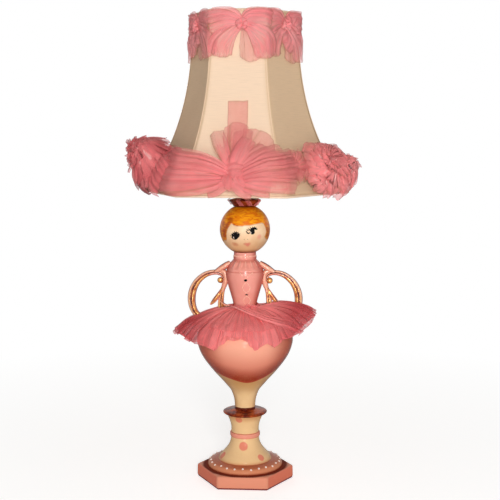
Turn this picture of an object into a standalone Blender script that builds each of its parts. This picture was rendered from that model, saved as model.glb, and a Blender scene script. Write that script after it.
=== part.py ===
"""A ballerina table lamp: an urn-shaped ceramic dancer on a hexagonal foot, with a six-panel bell shade.

The castings are stacked on one threaded lamp pipe. The dancer faces -Y, +Z is up, and the origin is at the
centre of the underside. All sizes are in metres.
"""

import math

import bmesh
import bpy
from mathutils import Vector

# Fits that many pieces share.
GAP = 0.0003  # between two pieces that touch
MERGE = 0.000001
SEGMENTS = 24
FINE_SEGMENTS = 16
SMALL_SEGMENTS = 12

# Lamp pipe, with its nut and washer under the pedestal.
PIPE_RADIUS = 0.0051
PIPE_BORE_RADIUS = 0.0036
PIPE_TAIL = 0.004
NUT_RADIUS = 0.0085
NUT_HEIGHT = 0.005
WASHER_RADIUS = 0.012
WASHER_THICKNESS = 0.0016
BORE_RADIUS = PIPE_RADIUS + GAP

# Hexagonal plinth and pedestal.
FELT_THICKNESS = 0.0015
FELT_MARGIN = 0.002
PLINTH_RADIUS = 0.0673  # centre to corner
PLINTH_HEIGHT = 0.0160
PLINTH_WALL = 0.006
PLINTH_EDGE = 0.0012
CASTING_WALL = 0.0045
DOT_RING_RADIUS = 0.0508
DOT_RING_HEIGHT = 0.0092
FLARE_RADIUS = 0.0365
FLARE_HEIGHT = 0.0302
SHAFT_RADIUS = 0.0189
BAND_HEIGHT = 0.0068
BAND_RELIEF = 0.0016
CUP_RADIUS = 0.0243
CUP_HEIGHT = 0.0257

# Cord inlet in the back of the plinth.
INLET_HEIGHT = 0.0098
INLET_BORE_RADIUS = 0.0036
BUSHING_RADIUS = 0.005
BUSHING_FLANGE_RADIUS = 0.0066
BUSHING_FLANGE = 0.0014

# Lustre collar, bowl (the dancer's hips and leg) and bodice.
COLLAR_RADIUS = 0.0300
COLLAR_HEIGHT = 0.0065
LEG_RADIUS = 0.0139
BOWL_RADIUS = 0.0653
BOWL_HEIGHT = 0.1363
WAIST_SEAT_RADIUS = 0.0170
WAIST_RADIUS = 0.0156
BUST_RADIUS = 0.0264
TORSO_HEIGHT = 0.0542
YOKE_HEIGHT = 0.0141
YOKE_FLUTES = 16
FLUTE_DEPTH = 0.0007
NECK_RADIUS = 0.0150
NECK_HEIGHT = 0.0114
BEAD_RELIEF = 0.0008

# Rococo handles, which are the dancer's arms.
HANDLE_REACH = 0.0728  # axis of the lamp to the middle of the scroll at its widest
HANDLE_THICKNESS = 0.0050  # half, front to back
HANDLE_FOOT_DROP = 0.0136  # foot of the stem, under the top of the bowl
HANDLE_SHOULDER_RISE = 0.0085  # top of the arm, over the foot of the yoke
VOLUTE_RADIUS = 0.0042

# Head and crown.
HEAD_RADIUS = 0.0341
CHIN_RADIUS = 0.0147
CROWN_SEAT_RADIUS = 0.0150
CROWN_RADIUS = 0.0215
CROWN_HEIGHT = 0.0121
SPACER_RADIUS = 0.0085
SPACER_WAIST_RADIUS = 0.0073
SPACER_HEIGHT = 0.0053

# Harp: saddle, ferrules, wire loop and seat.
SADDLE_THICKNESS = 0.0015
SADDLE_WIDTH = 0.012
EAR_WIDTH = 0.004
EAR_HEIGHT = 0.0210
EAR_TIP = 0.0095
HARP_LEG_SPACING = 0.072
HARP_LEG_STRAIGHT = 0.028
HARP_HALF_WIDTH = 0.0555
HARP_HEIGHT = 0.2070
HARP_WIRE_RADIUS = 0.0019
FERRULE_RADIUS = 0.0041
FERRULE_WALL = 0.0009
FERRULE_LENGTH = 0.0175
SEAT_RADIUS = 0.011
SEAT_THICKNESS = 0.003
STUD_RADIUS = 0.003
STUD_HEIGHT = 0.0135

# Socket with a turn switch.
CAP_RADIUS = 0.0170
CAP_HEIGHT = 0.0205
SOCKET_WALL = 0.0007
SHELL_OVERLAP = 0.006
SHELL_HEIGHT = 0.0500
SLEEVE_WALL = 0.0008
BLOCK_HEIGHT = 0.0220
SCREW_SHELL_HEIGHT = 0.0225
CONTACT_RADIUS = 0.0035
CONTACT_HEIGHT = 0.0014
SWITCH_HEIGHT = 0.0295  # above the saddle
STEM_RADIUS = 0.0016
STEM_INNER = 0.004
KNOB_RADIUS = 0.0055
KNOB_LENGTH = 0.012
KNOB_STANDOFF = 0.008
KNOB_RIBS = 8

# Bulb.
BULB_RADIUS = 0.030
BULB_LENGTH = 0.110
BULB_CAP_HEIGHT = 0.024
BULB_GLASS_WALL = 0.001

# Six-panel bell shade.
SIDES = 6
SIDE_NAMES = ("front", "front_right", "back_right", "back", "back_left", "front_left")
SHADE_TURN = math.radians(-4.5)
SHADE_TOP_RADIUS = 0.0708  # centre to corner
SHADE_BOTTOM_RADIUS = 0.1385
SHADE_HEIGHT = 0.2325
BELL_FLARE = 2.5
BELL_SPANS = 8  # straight runs down each panel, shorter where the bell bends more
PANEL_THICKNESS = 0.0010
FRAME_WIRE_RADIUS = 0.0014
RIB_RADIUS = 0.0012
SPIDER_DROP = 0.0222
SPIDER_WASHER_RADIUS = 0.0125
SPIDER_WASHER_THICKNESS = 0.0015
SPIDER_ARMS = 3

# Gathered tulle on the shade, one bow on each panel at the rim and one at the top.
HEM_BOW_HEIGHT = 0.076
HEM_BOW_THICKNESS = 0.036
TOP_RISE = 0.004
TOP_BOW_HEIGHT = 0.072
TOP_BOW_THICKNESS = 0.0085
BOW_EDGE = 0.0015
BOW_COLUMNS = 6
BOW_ROWS = 3

# How each rim bow swells, from its left corner to its right one: its lower and upper edge above
# the rim in shares of HEM_BOW_HEIGHT, and its fullness in shares of HEM_BOW_THICKNESS.
FRONT_SWAG = (
    (-0.03, 0.79, 0.58),
    (-0.04, 0.75, 0.74),
    (0.00, 0.68, 0.68),
    (-0.08, 1.05, 0.58),
    (-0.10, 1.00, 0.65),
    (-0.04, 0.82, 0.61),
    (-0.03, 0.71, 0.48),
)
LEFT_ROSETTE = (
    (-0.08, 0.84, 0.65),
    (-0.10, 0.92, 0.90),
    (-0.10, 0.95, 1.00),
    (-0.08, 0.90, 0.90),
    (-0.05, 0.79, 0.71),
    (-0.03, 0.76, 0.65),
    (-0.03, 0.79, 0.58),
)
RIGHT_ROSETTE = (
    (0.08, 0.71, 0.40),
    (0.05, 0.74, 0.48),
    (-0.08, 0.82, 0.65),
    (-0.12, 0.92, 0.81),
    (-0.12, 0.95, 0.90),
    (-0.10, 0.90, 0.81),
    (-0.08, 0.82, 0.58),
)
BACK_SWAG = (
    (-0.05, 0.76, 0.58),
    (-0.10, 0.82, 0.71),
    (-0.10, 0.84, 0.81),
    (-0.10, 1.10, 0.87),
    (-0.10, 0.87, 0.81),
    (-0.08, 0.82, 0.71),
    (-0.05, 0.74, 0.58),
)
SWAG_SECTION = ((0.00, 0.40), (0.33, 1.00), (0.70, 0.95), (1.00, 0.45))  # share of height, share of fullness

# Finial.
FINIAL_RADIUS = 0.0085
FINIAL_HEIGHT = 0.027
FINIAL_FOOT_RADIUS = 0.0065

# Tutu, waist ribbon and crown wreath.
RIBBON_THICKNESS = 0.0022
RIBBON_WIDTH = 0.008
TUTU_RADIUS = 0.096
TUTU_THICKNESS = 0.005
TUTU_RISE = 0.0042  # inner edge over the top of the bowl
TUTU_DROP = 0.042
TUTU_HIPS = 0.75  # where the hem starts to lift, as a share of the bowl's radius
TUTU_SIDE_LIFT = 0.018  # how much higher the hem stands at both sides than in front
TUTU_TILT = 0.115  # how far the hem rises to the right, as a share of the distance from the axis
TUTU_SLOT = 0.0085
WREATH_RADIUS = 0.0060
WREATH_HEIGHT = 0.0046

MATERIALS = {
    # name: (base colour, roughness, metallic)
    "cream_glaze": ((0.80, 0.60, 0.35, 1), 0.12, 0.0),
    "pink_glaze": ((0.83, 0.30, 0.23, 1), 0.12, 0.0),
    "gold_lustre": ((0.83, 0.42, 0.20, 1), 0.20, 0.8),
    "copper_lustre": ((0.33, 0.06, 0.02, 1), 0.12, 0.6),
    "brass": ((0.72, 0.48, 0.18, 1), 0.25, 1.0),
    "steel": ((0.55, 0.55, 0.56, 1), 0.35, 1.0),
    "aluminium": ((0.75, 0.75, 0.76, 1), 0.35, 1.0),
    "phenolic": ((0.02, 0.02, 0.02, 1), 0.35, 0.0),
    "card": ((0.30, 0.22, 0.14, 1), 0.80, 0.0),
    "opal_glass": ((0.90, 0.90, 0.88, 1), 0.30, 0.0),
    "tulle": ((0.80, 0.20, 0.22, 1), 0.75, 0.0),
    "satin": ((0.84, 0.70, 0.52, 1), 0.60, 0.0),
    "felt": ((0.35, 0.10, 0.12, 1), 0.95, 0.0),
}


def mix(start, end, share):
    """The value at a share of the way from start to end."""
    return start + (end - start) * share


def smooth(points, steps=2):
    """A curve through all the points, with this many spans between neighbours."""
    knots = [Vector(p) for p in points]
    knots = [knots[0] * 2 - knots[1], *knots, knots[-1] * 2 - knots[-2]]
    curve = []
    for before, start, end, after in zip(knots, knots[1:], knots[2:], knots[3:]):
        for step in range(steps):
            t = step / steps
            pull = 2 * before - 5 * start + 4 * end - after
            twist = 3 * start - before - 3 * end + after
            curve.append((2 * start + (end - before) * t + pull * t**2 + twist * t**3) / 2)
    return [tuple(p) for p in [*curve, knots[-2]]]


def inset(outline, distance):
    """An outline that rises from its foot, moved towards the axis by a distance along its normals."""
    moved = []
    for index, (radius, height) in enumerate(outline):
        low = outline[max(index - 1, 0)]
        high = outline[min(index + 1, len(outline) - 1)]
        rise, run = high[1] - low[1], high[0] - low[0]
        length = math.hypot(rise, run)
        moved.append((radius - rise / length * distance, height + run / length * distance))
    return moved


def radius_at(outline, height):
    """The radius of an outline at a height."""
    for (low_radius, low), (high_radius, high) in zip(outline, outline[1:]):
        if low <= height <= high:
            return mix(low_radius, high_radius, (height - low) / (high - low))
    raise ValueError("the outline doesn't reach that height")


def cast_shell(outer, wall):
    """The closed outline of a slip-cast shell: outer face, two end walls with the pipe's hole, inner face."""
    low, high = outer[0][1], outer[-1][1]
    inner = [p for p in inset(outer, wall) if p[0] > BORE_RADIUS + GAP and low + wall < p[1] < high - wall]
    return [
        (BORE_RADIUS, low),
        *outer,
        (BORE_RADIUS, high),
        (BORE_RADIUS, high - wall),
        *reversed(inner[1::3]),
        (BORE_RADIUS, low + wall),
    ]


# Objects, bodies and materials.


def start_empty_scene():
    for found in list(bpy.data.objects):
        bpy.data.objects.remove(found)


def finish_of(name):
    """The Principled material of this name, made once."""
    found = bpy.data.materials.get(name)
    if found:
        return found
    colour, roughness, metallic = MATERIALS[name]
    made = bpy.data.materials.new(name)
    made.use_nodes = True
    shader = made.node_tree.nodes["Principled BSDF"]
    shader.inputs["Base Color"].default_value = colour
    shader.inputs["Roughness"].default_value = roughness
    shader.inputs["Metallic"].default_value = metallic
    return made


def add_body(name, location=(0, 0, 0), turn=0.0):
    """An empty on a joint's axis, which carries the pieces that move together."""
    empty = bpy.data.objects.new(name, None)
    empty.location = location
    empty.rotation_euler = (0, 0, turn)
    bpy.context.scene.collection.objects.link(empty)
    return empty


def add_object(name, data, body, material):
    made = bpy.data.objects.new(name, data)
    bpy.context.scene.collection.objects.link(made)
    made.parent = body
    data.materials.append(finish_of(material))
    return made


def add_mesh(name, shape, body, material):
    """Turns a bmesh into an object whose round faces are shaded smooth."""
    bmesh.ops.remove_doubles(shape, verts=shape.verts, dist=MERGE)
    bmesh.ops.recalc_face_normals(shape, faces=shape.faces)
    mesh = bpy.data.meshes.new(name)
    shape.to_mesh(mesh)
    shape.free()
    mesh.shade_smooth()
    mesh.set_sharp_from_angle(angle=math.radians(35))
    return add_object(name, mesh, body, material)


def make_guide(made):
    """Marks a shape that only cuts or joins another."""
    made.hide_render = True
    made.display_type = "WIRE"
    return made


def add_boolean(made, other, operation="DIFFERENCE"):
    modifier = made.modifiers.new(operation.title(), "BOOLEAN")
    modifier.operation = operation
    modifier.object = make_guide(other)


# Shapes.


def turned(name, outline, body, material, segments=SEGMENTS, ribs=None):
    """A piece turned about Z from a closed outline of (radius, height).

    ribs is (lowest, highest, count, depth, hub): faces between those heights and outside the hub radius
    go in and out that often.
    """
    shape = bmesh.new()
    corners = [shape.verts.new((radius, 0, height)) for radius, height in outline]
    for start, end in zip(corners, corners[1:] + corners[:1]):
        if start.co.x > MERGE or end.co.x > MERGE:
            shape.edges.new((start, end))
    bmesh.ops.spin(
        shape,
        geom=shape.verts[:] + shape.edges[:],
        axis=(0, 0, 1),
        angle=math.tau,
        steps=segments,
        use_merge=True,
    )
    if ribs:
        lowest, highest, count, depth, hub = ribs
        for vert in shape.verts:
            radius = math.hypot(vert.co.x, vert.co.y)
            if lowest <= vert.co.z <= highest and radius > hub:
                angle = math.atan2(vert.co.y, vert.co.x)
                grown = 1 + depth * math.cos(count * angle) / radius
                vert.co.x *= grown
                vert.co.y *= grown
    return add_mesh(name, shape, body, material)


def rod(name, radius, low, high, body, material, segments=SMALL_SEGMENTS):
    return turned(name, [(0, low), (radius, low), (radius, high), (0, high)], body, material, segments)


def tube(name, radius, bore, low, high, body, material, segments=SMALL_SEGMENTS):
    outline = [(bore, low), (radius, low), (radius, high), (bore, high)]
    return turned(name, outline, body, material, segments)


def prism(name, radius, low, high, body, material, sides=SIDES):
    """An upright prism with its first corner on +X."""
    shape = bmesh.new()
    rings = []
    for height in (low, high):
        angles = [math.tau * side / sides for side in range(sides)]
        rings.append([shape.verts.new((radius * math.cos(a), radius * math.sin(a), height)) for a in angles])
    shape.faces.new(rings[0])
    shape.faces.new(rings[1])
    bmesh.ops.bridge_loops(shape, edges=shape.edges[:])
    return add_mesh(name, shape, body, material)


def block(name, low, high, body, material):
    """A box between two corners."""
    shape = bmesh.new()
    bmesh.ops.create_cube(shape, size=1)
    for vert in shape.verts:
        vert.co = [mix(a, b, share + 0.5) for a, b, share in zip(low, high, vert.co)]
    return add_mesh(name, shape, body, material)


def add_loft(shape, rings, cyclic=False):
    """Adds a closed skin through rings of the same number of points: with two ends, or closed on itself."""
    loops = [[shape.verts.new(point) for point in ring] for ring in rings]
    if not cyclic:
        shape.faces.new(loops[0])
        shape.faces.new(loops[-1])
    for low, high in zip(loops, loops[1:] + loops[:1] if cyclic else loops[1:]):
        for index in range(len(low)):
            after = (index + 1) % len(low)
            shape.faces.new((low[index], low[after], high[after], high[index]))


def swept(name, stations, section, body, material):
    """A section carried along a path in the XZ plane. A station is (x, z, half width, half depth along Y)."""
    rings = []
    for index, (x, z, width, depth) in enumerate(stations):
        back = stations[max(index - 1, 0)]
        ahead = stations[min(index + 1, len(stations) - 1)]
        along = Vector((ahead[0] - back[0], 0, ahead[1] - back[1])).normalized()
        across = Vector((-along.z, 0, along.x))
        rings.append([Vector((x, 0, z)) + across * u * width + Vector((0, v * depth, 0)) for u, v in section])
    shape = bmesh.new()
    add_loft(shape, rings)
    return add_mesh(name, shape, body, material)


def round_section(sides):
    """Points round a circle, with a flat and not a corner towards the bend."""
    angles = [math.tau * (side + 0.5) / sides for side in range(sides)]
    return [(math.cos(angle), math.sin(angle)) for angle in angles]


def wires(name, paths, radius, body, material, cyclic=False, sides=6):
    """Round wire along flat paths, mitred at each bend. A path is (its points, the normal of its plane)."""
    shape = bmesh.new()
    for points, normal in paths:
        places = [Vector(point) for point in points]
        last = len(places) - 1
        rings = []
        for index, place in enumerate(places):
            back = places[index - 1] if index or cyclic else place * 2 - places[1]
            ahead = places[(index + 1) % len(places)] if index < last or cyclic else place * 2 - places[-2]
            out = (ahead - place).normalized()
            along = (out + (place - back).normalized()).normalized()
            across = normal.cross(along) / along.dot(out)
            rings.append([place + (across * u + normal * v) * radius for u, v in round_section(sides)])
        add_loft(shape, rings, cyclic)
    return add_mesh(name, shape, body, material)


def lay_along_y(made, height):
    """Turns a piece built about Z so that it lies along +Y at a height."""
    made.rotation_euler = (-math.pi / 2, 0, 0)
    made.location = (0, 0, height)
    return made


# Levels of the stack, from the table up.

PLINTH_LOW = FELT_THICKNESS + GAP
PLINTH_TOP = PLINTH_LOW + PLINTH_HEIGHT
DOT_RING_TOP = PLINTH_TOP + DOT_RING_HEIGHT
BAND_LOW = DOT_RING_TOP + FLARE_HEIGHT
BAND_TOP = BAND_LOW + BAND_HEIGHT
PEDESTAL_TOP = BAND_TOP + CUP_HEIGHT
COLLAR_LOW = PEDESTAL_TOP + GAP
COLLAR_TOP = COLLAR_LOW + COLLAR_HEIGHT
BOWL_LOW = COLLAR_TOP + GAP
BOWL_TOP = BOWL_LOW + BOWL_HEIGHT
BODICE_LOW = BOWL_TOP + GAP
YOKE_LOW = BODICE_LOW + TORSO_HEIGHT
YOKE_TOP = YOKE_LOW + YOKE_HEIGHT
NECK_TOP = YOKE_TOP + NECK_HEIGHT
HEAD_LOW = NECK_TOP + GAP
HEAD_CENTRE = HEAD_LOW + math.sqrt(HEAD_RADIUS**2 - CHIN_RADIUS**2)
HEAD_TOP = HEAD_CENTRE + math.sqrt(HEAD_RADIUS**2 - CROWN_SEAT_RADIUS**2)
CROWN_LOW = HEAD_TOP + GAP
CROWN_TOP = CROWN_LOW + CROWN_HEIGHT
SPACER_LOW = CROWN_TOP + GAP
SPACER_TOP = SPACER_LOW + SPACER_HEIGHT
SADDLE_LOW = SPACER_TOP + GAP
SADDLE_TOP = SADDLE_LOW + SADDLE_THICKNESS
CAP_LOW = SADDLE_TOP + GAP
CAP_TOP = CAP_LOW + CAP_HEIGHT
SHELL_LOW = CAP_TOP - SHELL_OVERLAP
SHELL_TOP = SHELL_LOW + SHELL_HEIGHT
BLOCK_LOW = SHELL_LOW + SOCKET_WALL
BLOCK_TOP = BLOCK_LOW + BLOCK_HEIGHT
CONTACT_LOW = BLOCK_TOP + GAP
CONTACT_TOP = CONTACT_LOW + CONTACT_HEIGHT
BULB_LOW = CONTACT_TOP + GAP
SWITCH_LEVEL = SADDLE_LOW + SWITCH_HEIGHT
PIPE_TOP = CAP_LOW + CAP_HEIGHT * 0.42
EAR_TOP = SADDLE_LOW + EAR_HEIGHT
EAR_SHOULDER = EAR_TOP - EAR_TIP
FERRULE_LOW = EAR_SHOULDER + GAP
HARP_FOOT = EAR_TOP + GAP
HARP_TOP = SADDLE_LOW + HARP_HEIGHT
SEAT_LOW = HARP_TOP + HARP_WIRE_RADIUS + GAP
SEAT_TOP = SEAT_LOW + SEAT_THICKNESS
SPIDER_LOW = SEAT_TOP + GAP
SPIDER_TOP = SPIDER_LOW + SPIDER_WASHER_THICKNESS
FINIAL_LOW = SPIDER_TOP + GAP
SHADE_TOP = SPIDER_LOW + SPIDER_DROP
SHADE_LOW = SHADE_TOP - SHADE_HEIGHT

# Radii of the socket's nested sleeves, each one gap inside the last.
SHELL_RADIUS = CAP_RADIUS - SOCKET_WALL - GAP
SLEEVE_RADIUS = SHELL_RADIUS - SOCKET_WALL - GAP
SCREW_SHELL_RADIUS = SLEEVE_RADIUS - SLEEVE_WALL - GAP
BULB_CAP_RADIUS = SCREW_SHELL_RADIUS - SOCKET_WALL - GAP


# Foot and pedestal.


def pedestal_outline():
    """The outer face of the round part of the pedestal, from inside the plinth's top to the collar's seat."""
    ring = [
        (DOT_RING_RADIUS, PLINTH_TOP),
        (DOT_RING_RADIUS + 0.0004, mix(PLINTH_TOP, DOT_RING_TOP, 0.35)),
        (DOT_RING_RADIUS - 0.0042, mix(PLINTH_TOP, DOT_RING_TOP, 0.80)),
        (FLARE_RADIUS + 0.0030, DOT_RING_TOP),
    ]
    flare_shape = ((0, 0), (0.15, 0.14), (0.36, 0.49), (0.53, 0.73), (0.75, 0.92), (1, 1))
    flare = [(mix(FLARE_RADIUS, SHAFT_RADIUS, s), mix(DOT_RING_TOP, BAND_LOW, h)) for h, s in flare_shape]
    band = [
        (SHAFT_RADIUS + BAND_RELIEF, mix(BAND_LOW, BAND_TOP, 0.14)),
        (SHAFT_RADIUS + BAND_RELIEF, mix(BAND_LOW, BAND_TOP, 0.86)),
    ]
    cup_shape = ((0, 0), (0.32, 0.03), (0.58, 0.31), (0.80, 0.70), (1, 1))
    cup = [(mix(SHAFT_RADIUS, CUP_RADIUS, s), mix(BAND_TOP, PEDESTAL_TOP, h)) for h, s in cup_shape]
    return [*ring, *flare, *band, *cup]


def make_foot(stand):
    prism("felt_pad", PLINTH_RADIUS - FELT_MARGIN, 0, FELT_THICKNESS, stand, "felt")

    pedestal = prism("pedestal", PLINTH_RADIUS, PLINTH_LOW, PLINTH_TOP, stand, "pink_glaze")
    edges = pedestal.modifiers.new("Soft edges", "BEVEL")
    edges.width = PLINTH_EDGE
    edges.segments = 1
    edges.limit_method = "ANGLE"

    outer = pedestal_outline()
    sunk = PLINTH_WALL / 3
    column = [(0, PLINTH_TOP - sunk), (DOT_RING_RADIUS, PLINTH_TOP - sunk), *outer, (0, PEDESTAL_TOP)]
    add_boolean(pedestal, turned("pedestal_column", column, stand, "cream_glaze"), "UNION")

    pocket_top = PLINTH_TOP - CASTING_WALL
    pocket_radius = PLINTH_RADIUS - PLINTH_WALL
    add_boolean(pedestal, prism("pedestal_pocket", pocket_radius, 0, pocket_top, stand, "cream_glaze"))
    ceiling = PEDESTAL_TOP - CASTING_WALL
    inner = [p for p in inset(outer, CASTING_WALL)[2::3] if PLINTH_TOP < p[1] < ceiling]
    mouth = (DOT_RING_RADIUS - CASTING_WALL, pocket_top - sunk)
    hollow = [(0, mouth[1]), mouth, *inner, (inner[-1][0], ceiling), (0, ceiling)]
    add_boolean(pedestal, turned("pedestal_hollow", hollow, stand, "cream_glaze", SMALL_SEGMENTS))
    top = PEDESTAL_TOP + sunk
    add_boolean(pedestal, rod("pedestal_top_hole", BORE_RADIUS, ceiling - sunk, top, stand, "cream_glaze"))

    flat = PLINTH_RADIUS * math.cos(math.pi / SIDES)
    inner_flat = (PLINTH_RADIUS - PLINTH_WALL) * math.cos(math.pi / SIDES)
    drill_radius = BUSHING_RADIUS + GAP
    drill = rod("inlet_drill", drill_radius, inner_flat - 0.004, flat + 0.004, stand, "cream_glaze")
    add_boolean(pedestal, lay_along_y(drill, INLET_HEIGHT))
    face = flat + GAP
    bushing = [
        (INLET_BORE_RADIUS, inner_flat - BUSHING_FLANGE),
        (BUSHING_RADIUS, inner_flat - BUSHING_FLANGE),
        (BUSHING_RADIUS, face),
        (BUSHING_FLANGE_RADIUS, face),
        (BUSHING_FLANGE_RADIUS - 0.0006, face + BUSHING_FLANGE),
        (INLET_BORE_RADIUS, face + BUSHING_FLANGE),
    ]
    lay_along_y(turned("cord_bushing", bushing, stand, "phenolic", SMALL_SEGMENTS), INLET_HEIGHT)

    washer_top = ceiling - GAP
    washer_low = washer_top - WASHER_THICKNESS
    tube("pipe_washer", WASHER_RADIUS, BORE_RADIUS, washer_low, washer_top, stand, "steel")
    nut_top = washer_low - GAP
    nut = prism("pipe_nut", NUT_RADIUS, nut_top - NUT_HEIGHT, nut_top, stand, "steel")
    nut_bore = rod("nut_bore", BORE_RADIUS, nut_top - NUT_HEIGHT * 2, nut_top + NUT_HEIGHT, stand, "steel")
    add_boolean(nut, nut_bore)
    pipe_low = nut_top - NUT_HEIGHT - PIPE_TAIL
    tube("lamp_pipe", PIPE_RADIUS, PIPE_BORE_RADIUS, pipe_low, PIPE_TOP, stand, "steel")


# Collar, bowl and bodice.


def bowl_outline():
    """The outer face of the bowl: a slim leg that swells into the hips and closes at the waist."""
    swell = (
        (0, 0), (0.068, 0.008), (0.125, 0.035), (0.196, 0.109), (0.256, 0.237), (0.317, 0.375),
        (0.38, 0.528), (0.450, 0.678), (0.519, 0.812), (0.587, 0.912), (0.654, 0.975), (0.714, 1.0),
    )
    lower = [(mix(LEG_RADIUS, BOWL_RADIUS, s), mix(BOWL_LOW, BOWL_TOP, h)) for h, s in swell]
    close = ((0.714, 0), (0.782, 0.03), (0.85, 0.14), (0.91, 0.335), (0.955, 0.58), (0.985, 0.84), (1, 1))
    upper = [(mix(BOWL_RADIUS, WAIST_SEAT_RADIUS, s), mix(BOWL_LOW, BOWL_TOP, h)) for h, s in close]
    return [*lower[:-1], *upper]


def torso_outline():
    shape = ((0, -0.10), (0.075, 0), (0.205, 0.07), (0.34, 0.24), (0.74, 0.82), (0.91, 1.0), (1, 0.97))
    return [(mix(WAIST_RADIUS, BUST_RADIUS, s), mix(BODICE_LOW, YOKE_LOW, h)) for h, s in shape]


def bodice_outline():
    """The outer face of the bodice: torso, fluted yoke and neck with a beaded band."""
    yoke_low_radius = BUST_RADIUS - 0.0012
    yoke_top_radius = NECK_RADIUS + 0.0022
    yoke_shape = ((0.02, 0), (0.30, 0.16), (1, 1))
    yoke = [(mix(yoke_low_radius, yoke_top_radius, s), mix(YOKE_LOW, YOKE_TOP, h)) for h, s in yoke_shape]
    neck = [
        (NECK_RADIUS + 0.0004, mix(YOKE_TOP, NECK_TOP, 0.18)),
        (NECK_RADIUS + BEAD_RELIEF, mix(YOKE_TOP, NECK_TOP, 0.36)),
        (NECK_RADIUS + BEAD_RELIEF, mix(YOKE_TOP, NECK_TOP, 0.52)),
        (NECK_RADIUS, mix(YOKE_TOP, NECK_TOP, 0.62)),
        (NECK_RADIUS - 0.0001, NECK_TOP),
    ]
    return [*torso_outline(), *yoke, *neck]


def make_urn(stand):
    collar = [
        (BORE_RADIUS, COLLAR_LOW),
        (CUP_RADIUS, COLLAR_LOW),
        (COLLAR_RADIUS - 0.0016, mix(COLLAR_LOW, COLLAR_TOP, 0.12)),
        (COLLAR_RADIUS, mix(COLLAR_LOW, COLLAR_TOP, 0.34)),
        (COLLAR_RADIUS - 0.0002, mix(COLLAR_LOW, COLLAR_TOP, 0.52)),
        (COLLAR_RADIUS - 0.0020, mix(COLLAR_LOW, COLLAR_TOP, 0.70)),
        (mix(LEG_RADIUS, COLLAR_RADIUS, 0.40), mix(COLLAR_LOW, COLLAR_TOP, 0.84)),
        (LEG_RADIUS + 0.0016, COLLAR_TOP),
        (BORE_RADIUS, COLLAR_TOP),
    ]
    turned("collar_ring", collar, stand, "copper_lustre")
    turned("urn_bowl", cast_shell(bowl_outline(), CASTING_WALL), stand, "pink_glaze")
    flutes = (YOKE_LOW, YOKE_TOP - GAP, YOKE_FLUTES, FLUTE_DEPTH, NECK_RADIUS)
    outline = cast_shell(bodice_outline(), CASTING_WALL)
    turned("bodice", outline, stand, "pink_glaze", YOKE_FLUTES * 2, flutes)


# Handles. Places on a handle are (share of the way out to the reach, share of the way up the arm).


def scroll_section():
    """Ten points round a flat oval with a groove down the front and the back."""
    front = [(0.95, 0.42), (0.48, 1.0), (0, 0.66), (-0.48, 1.0), (-0.95, 0.42)]
    return front + [(-u, -v) for u, v in front]


def handle_places(places, side):
    """Turns shares of the arm into stations: x, z, half width, half depth."""
    low = BOWL_TOP - HANDLE_FOOT_DROP
    high = YOKE_LOW + HANDLE_SHOULDER_RISE
    stations = []
    for out, up, width in places:
        depth = min(width, HANDLE_THICKNESS)
        stations.append((side * HANDLE_REACH * out, mix(low, high, up), width, depth))
    return smooth(stations)


def make_handle(name, side, stand):
    """One rococo arm: a grooved C scroll, a strut to the shoulder, a stem with a leaf, and a volute bead."""
    scroll = (
        (0.46, 0.700, 0.0028), (0.52, 0.790, 0.0034), (0.63, 0.838, 0.0036), (0.76, 0.800, 0.0040),
        (0.89, 0.690, 0.0046), (0.97, 0.550, 0.0052), (1.00, 0.400, 0.0054), (0.985, 0.250, 0.0050),
        (0.92, 0.120, 0.0044), (0.80, 0.035, 0.0042), (0.66, -0.020, 0.0044), (0.58, -0.090, 0.0046),
    )
    shoulder = ((0.27, 1.030, 0.0030), (0.345, 0.990, 0.0029), (0.43, 0.938, 0.0029), (0.54, 0.868, 0.0028))
    stem = (
        (0.57, 0.838, 0.0028), (0.46, 0.845, 0.0032), (0.385, 0.795, 0.0034), (0.365, 0.715, 0.0034),
        (0.385, 0.640, 0.0032), (0.413, 0.560, 0.0028), (0.428, 0.480, 0.0028), (0.442, 0.400, 0.0034),
        (0.452, 0.300, 0.0042), (0.445, 0.200, 0.0045), (0.42, 0.100, 0.0044), (0.40, 0.000, 0.0044),
    )
    leaf = ((0.42, 0.555, 0.0022), (0.49, 0.455, 0.0028), (0.575, 0.345, 0.0027), (0.65, 0.272, 0.0012))
    tendril = ((0.445, 0.320, 0.0026), (0.390, 0.268, 0.0024), (0.33, 0.258, 0.0020), (0.285, 0.268, 0.0014))
    grooved, plain = scroll_section(), round_section(6)
    handle = swept(name, handle_places(scroll, side), grooved, stand, "gold_lustre")
    branches = {"shoulder": shoulder, "stem": stem, "leaf": leaf, "tendril": tendril}
    for part, places in branches.items():
        branch = swept(f"{name}_{part}", handle_places(places, side), plain, stand, "gold_lustre")
        add_boolean(handle, branch, "UNION")
    volute_x, volute_z, _, _ = handle_places(scroll, side)[0]
    angles = [math.pi * step / 5 for step in range(6)]
    ball = [(VOLUTE_RADIUS * math.sin(angle), -VOLUTE_RADIUS * math.cos(angle)) for angle in angles]
    volute = turned(f"{name}_volute", ball, stand, "gold_lustre", 10)
    volute.rotation_euler = (math.pi / 2, 0, 0)
    volute.location = (volute_x, 0, volute_z)
    add_boolean(handle, volute, "UNION")

    grown_bowl = [(0, BOWL_LOW), *inset(bowl_outline(), -GAP), (0, BOWL_TOP + GAP)]
    add_boolean(handle, turned(f"{name}_bowl_trim", grown_bowl, stand, "pink_glaze"))
    body = bodice_outline()
    grown_bodice = [(0, BODICE_LOW), *inset(body, -GAP - FLUTE_DEPTH), (0, NECK_TOP)]
    trim = turned(f"{name}_bodice_trim", grown_bodice, stand, "pink_glaze", YOKE_FLUTES * 2)
    add_boolean(handle, trim)


# Head, crown and wreath.


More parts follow.
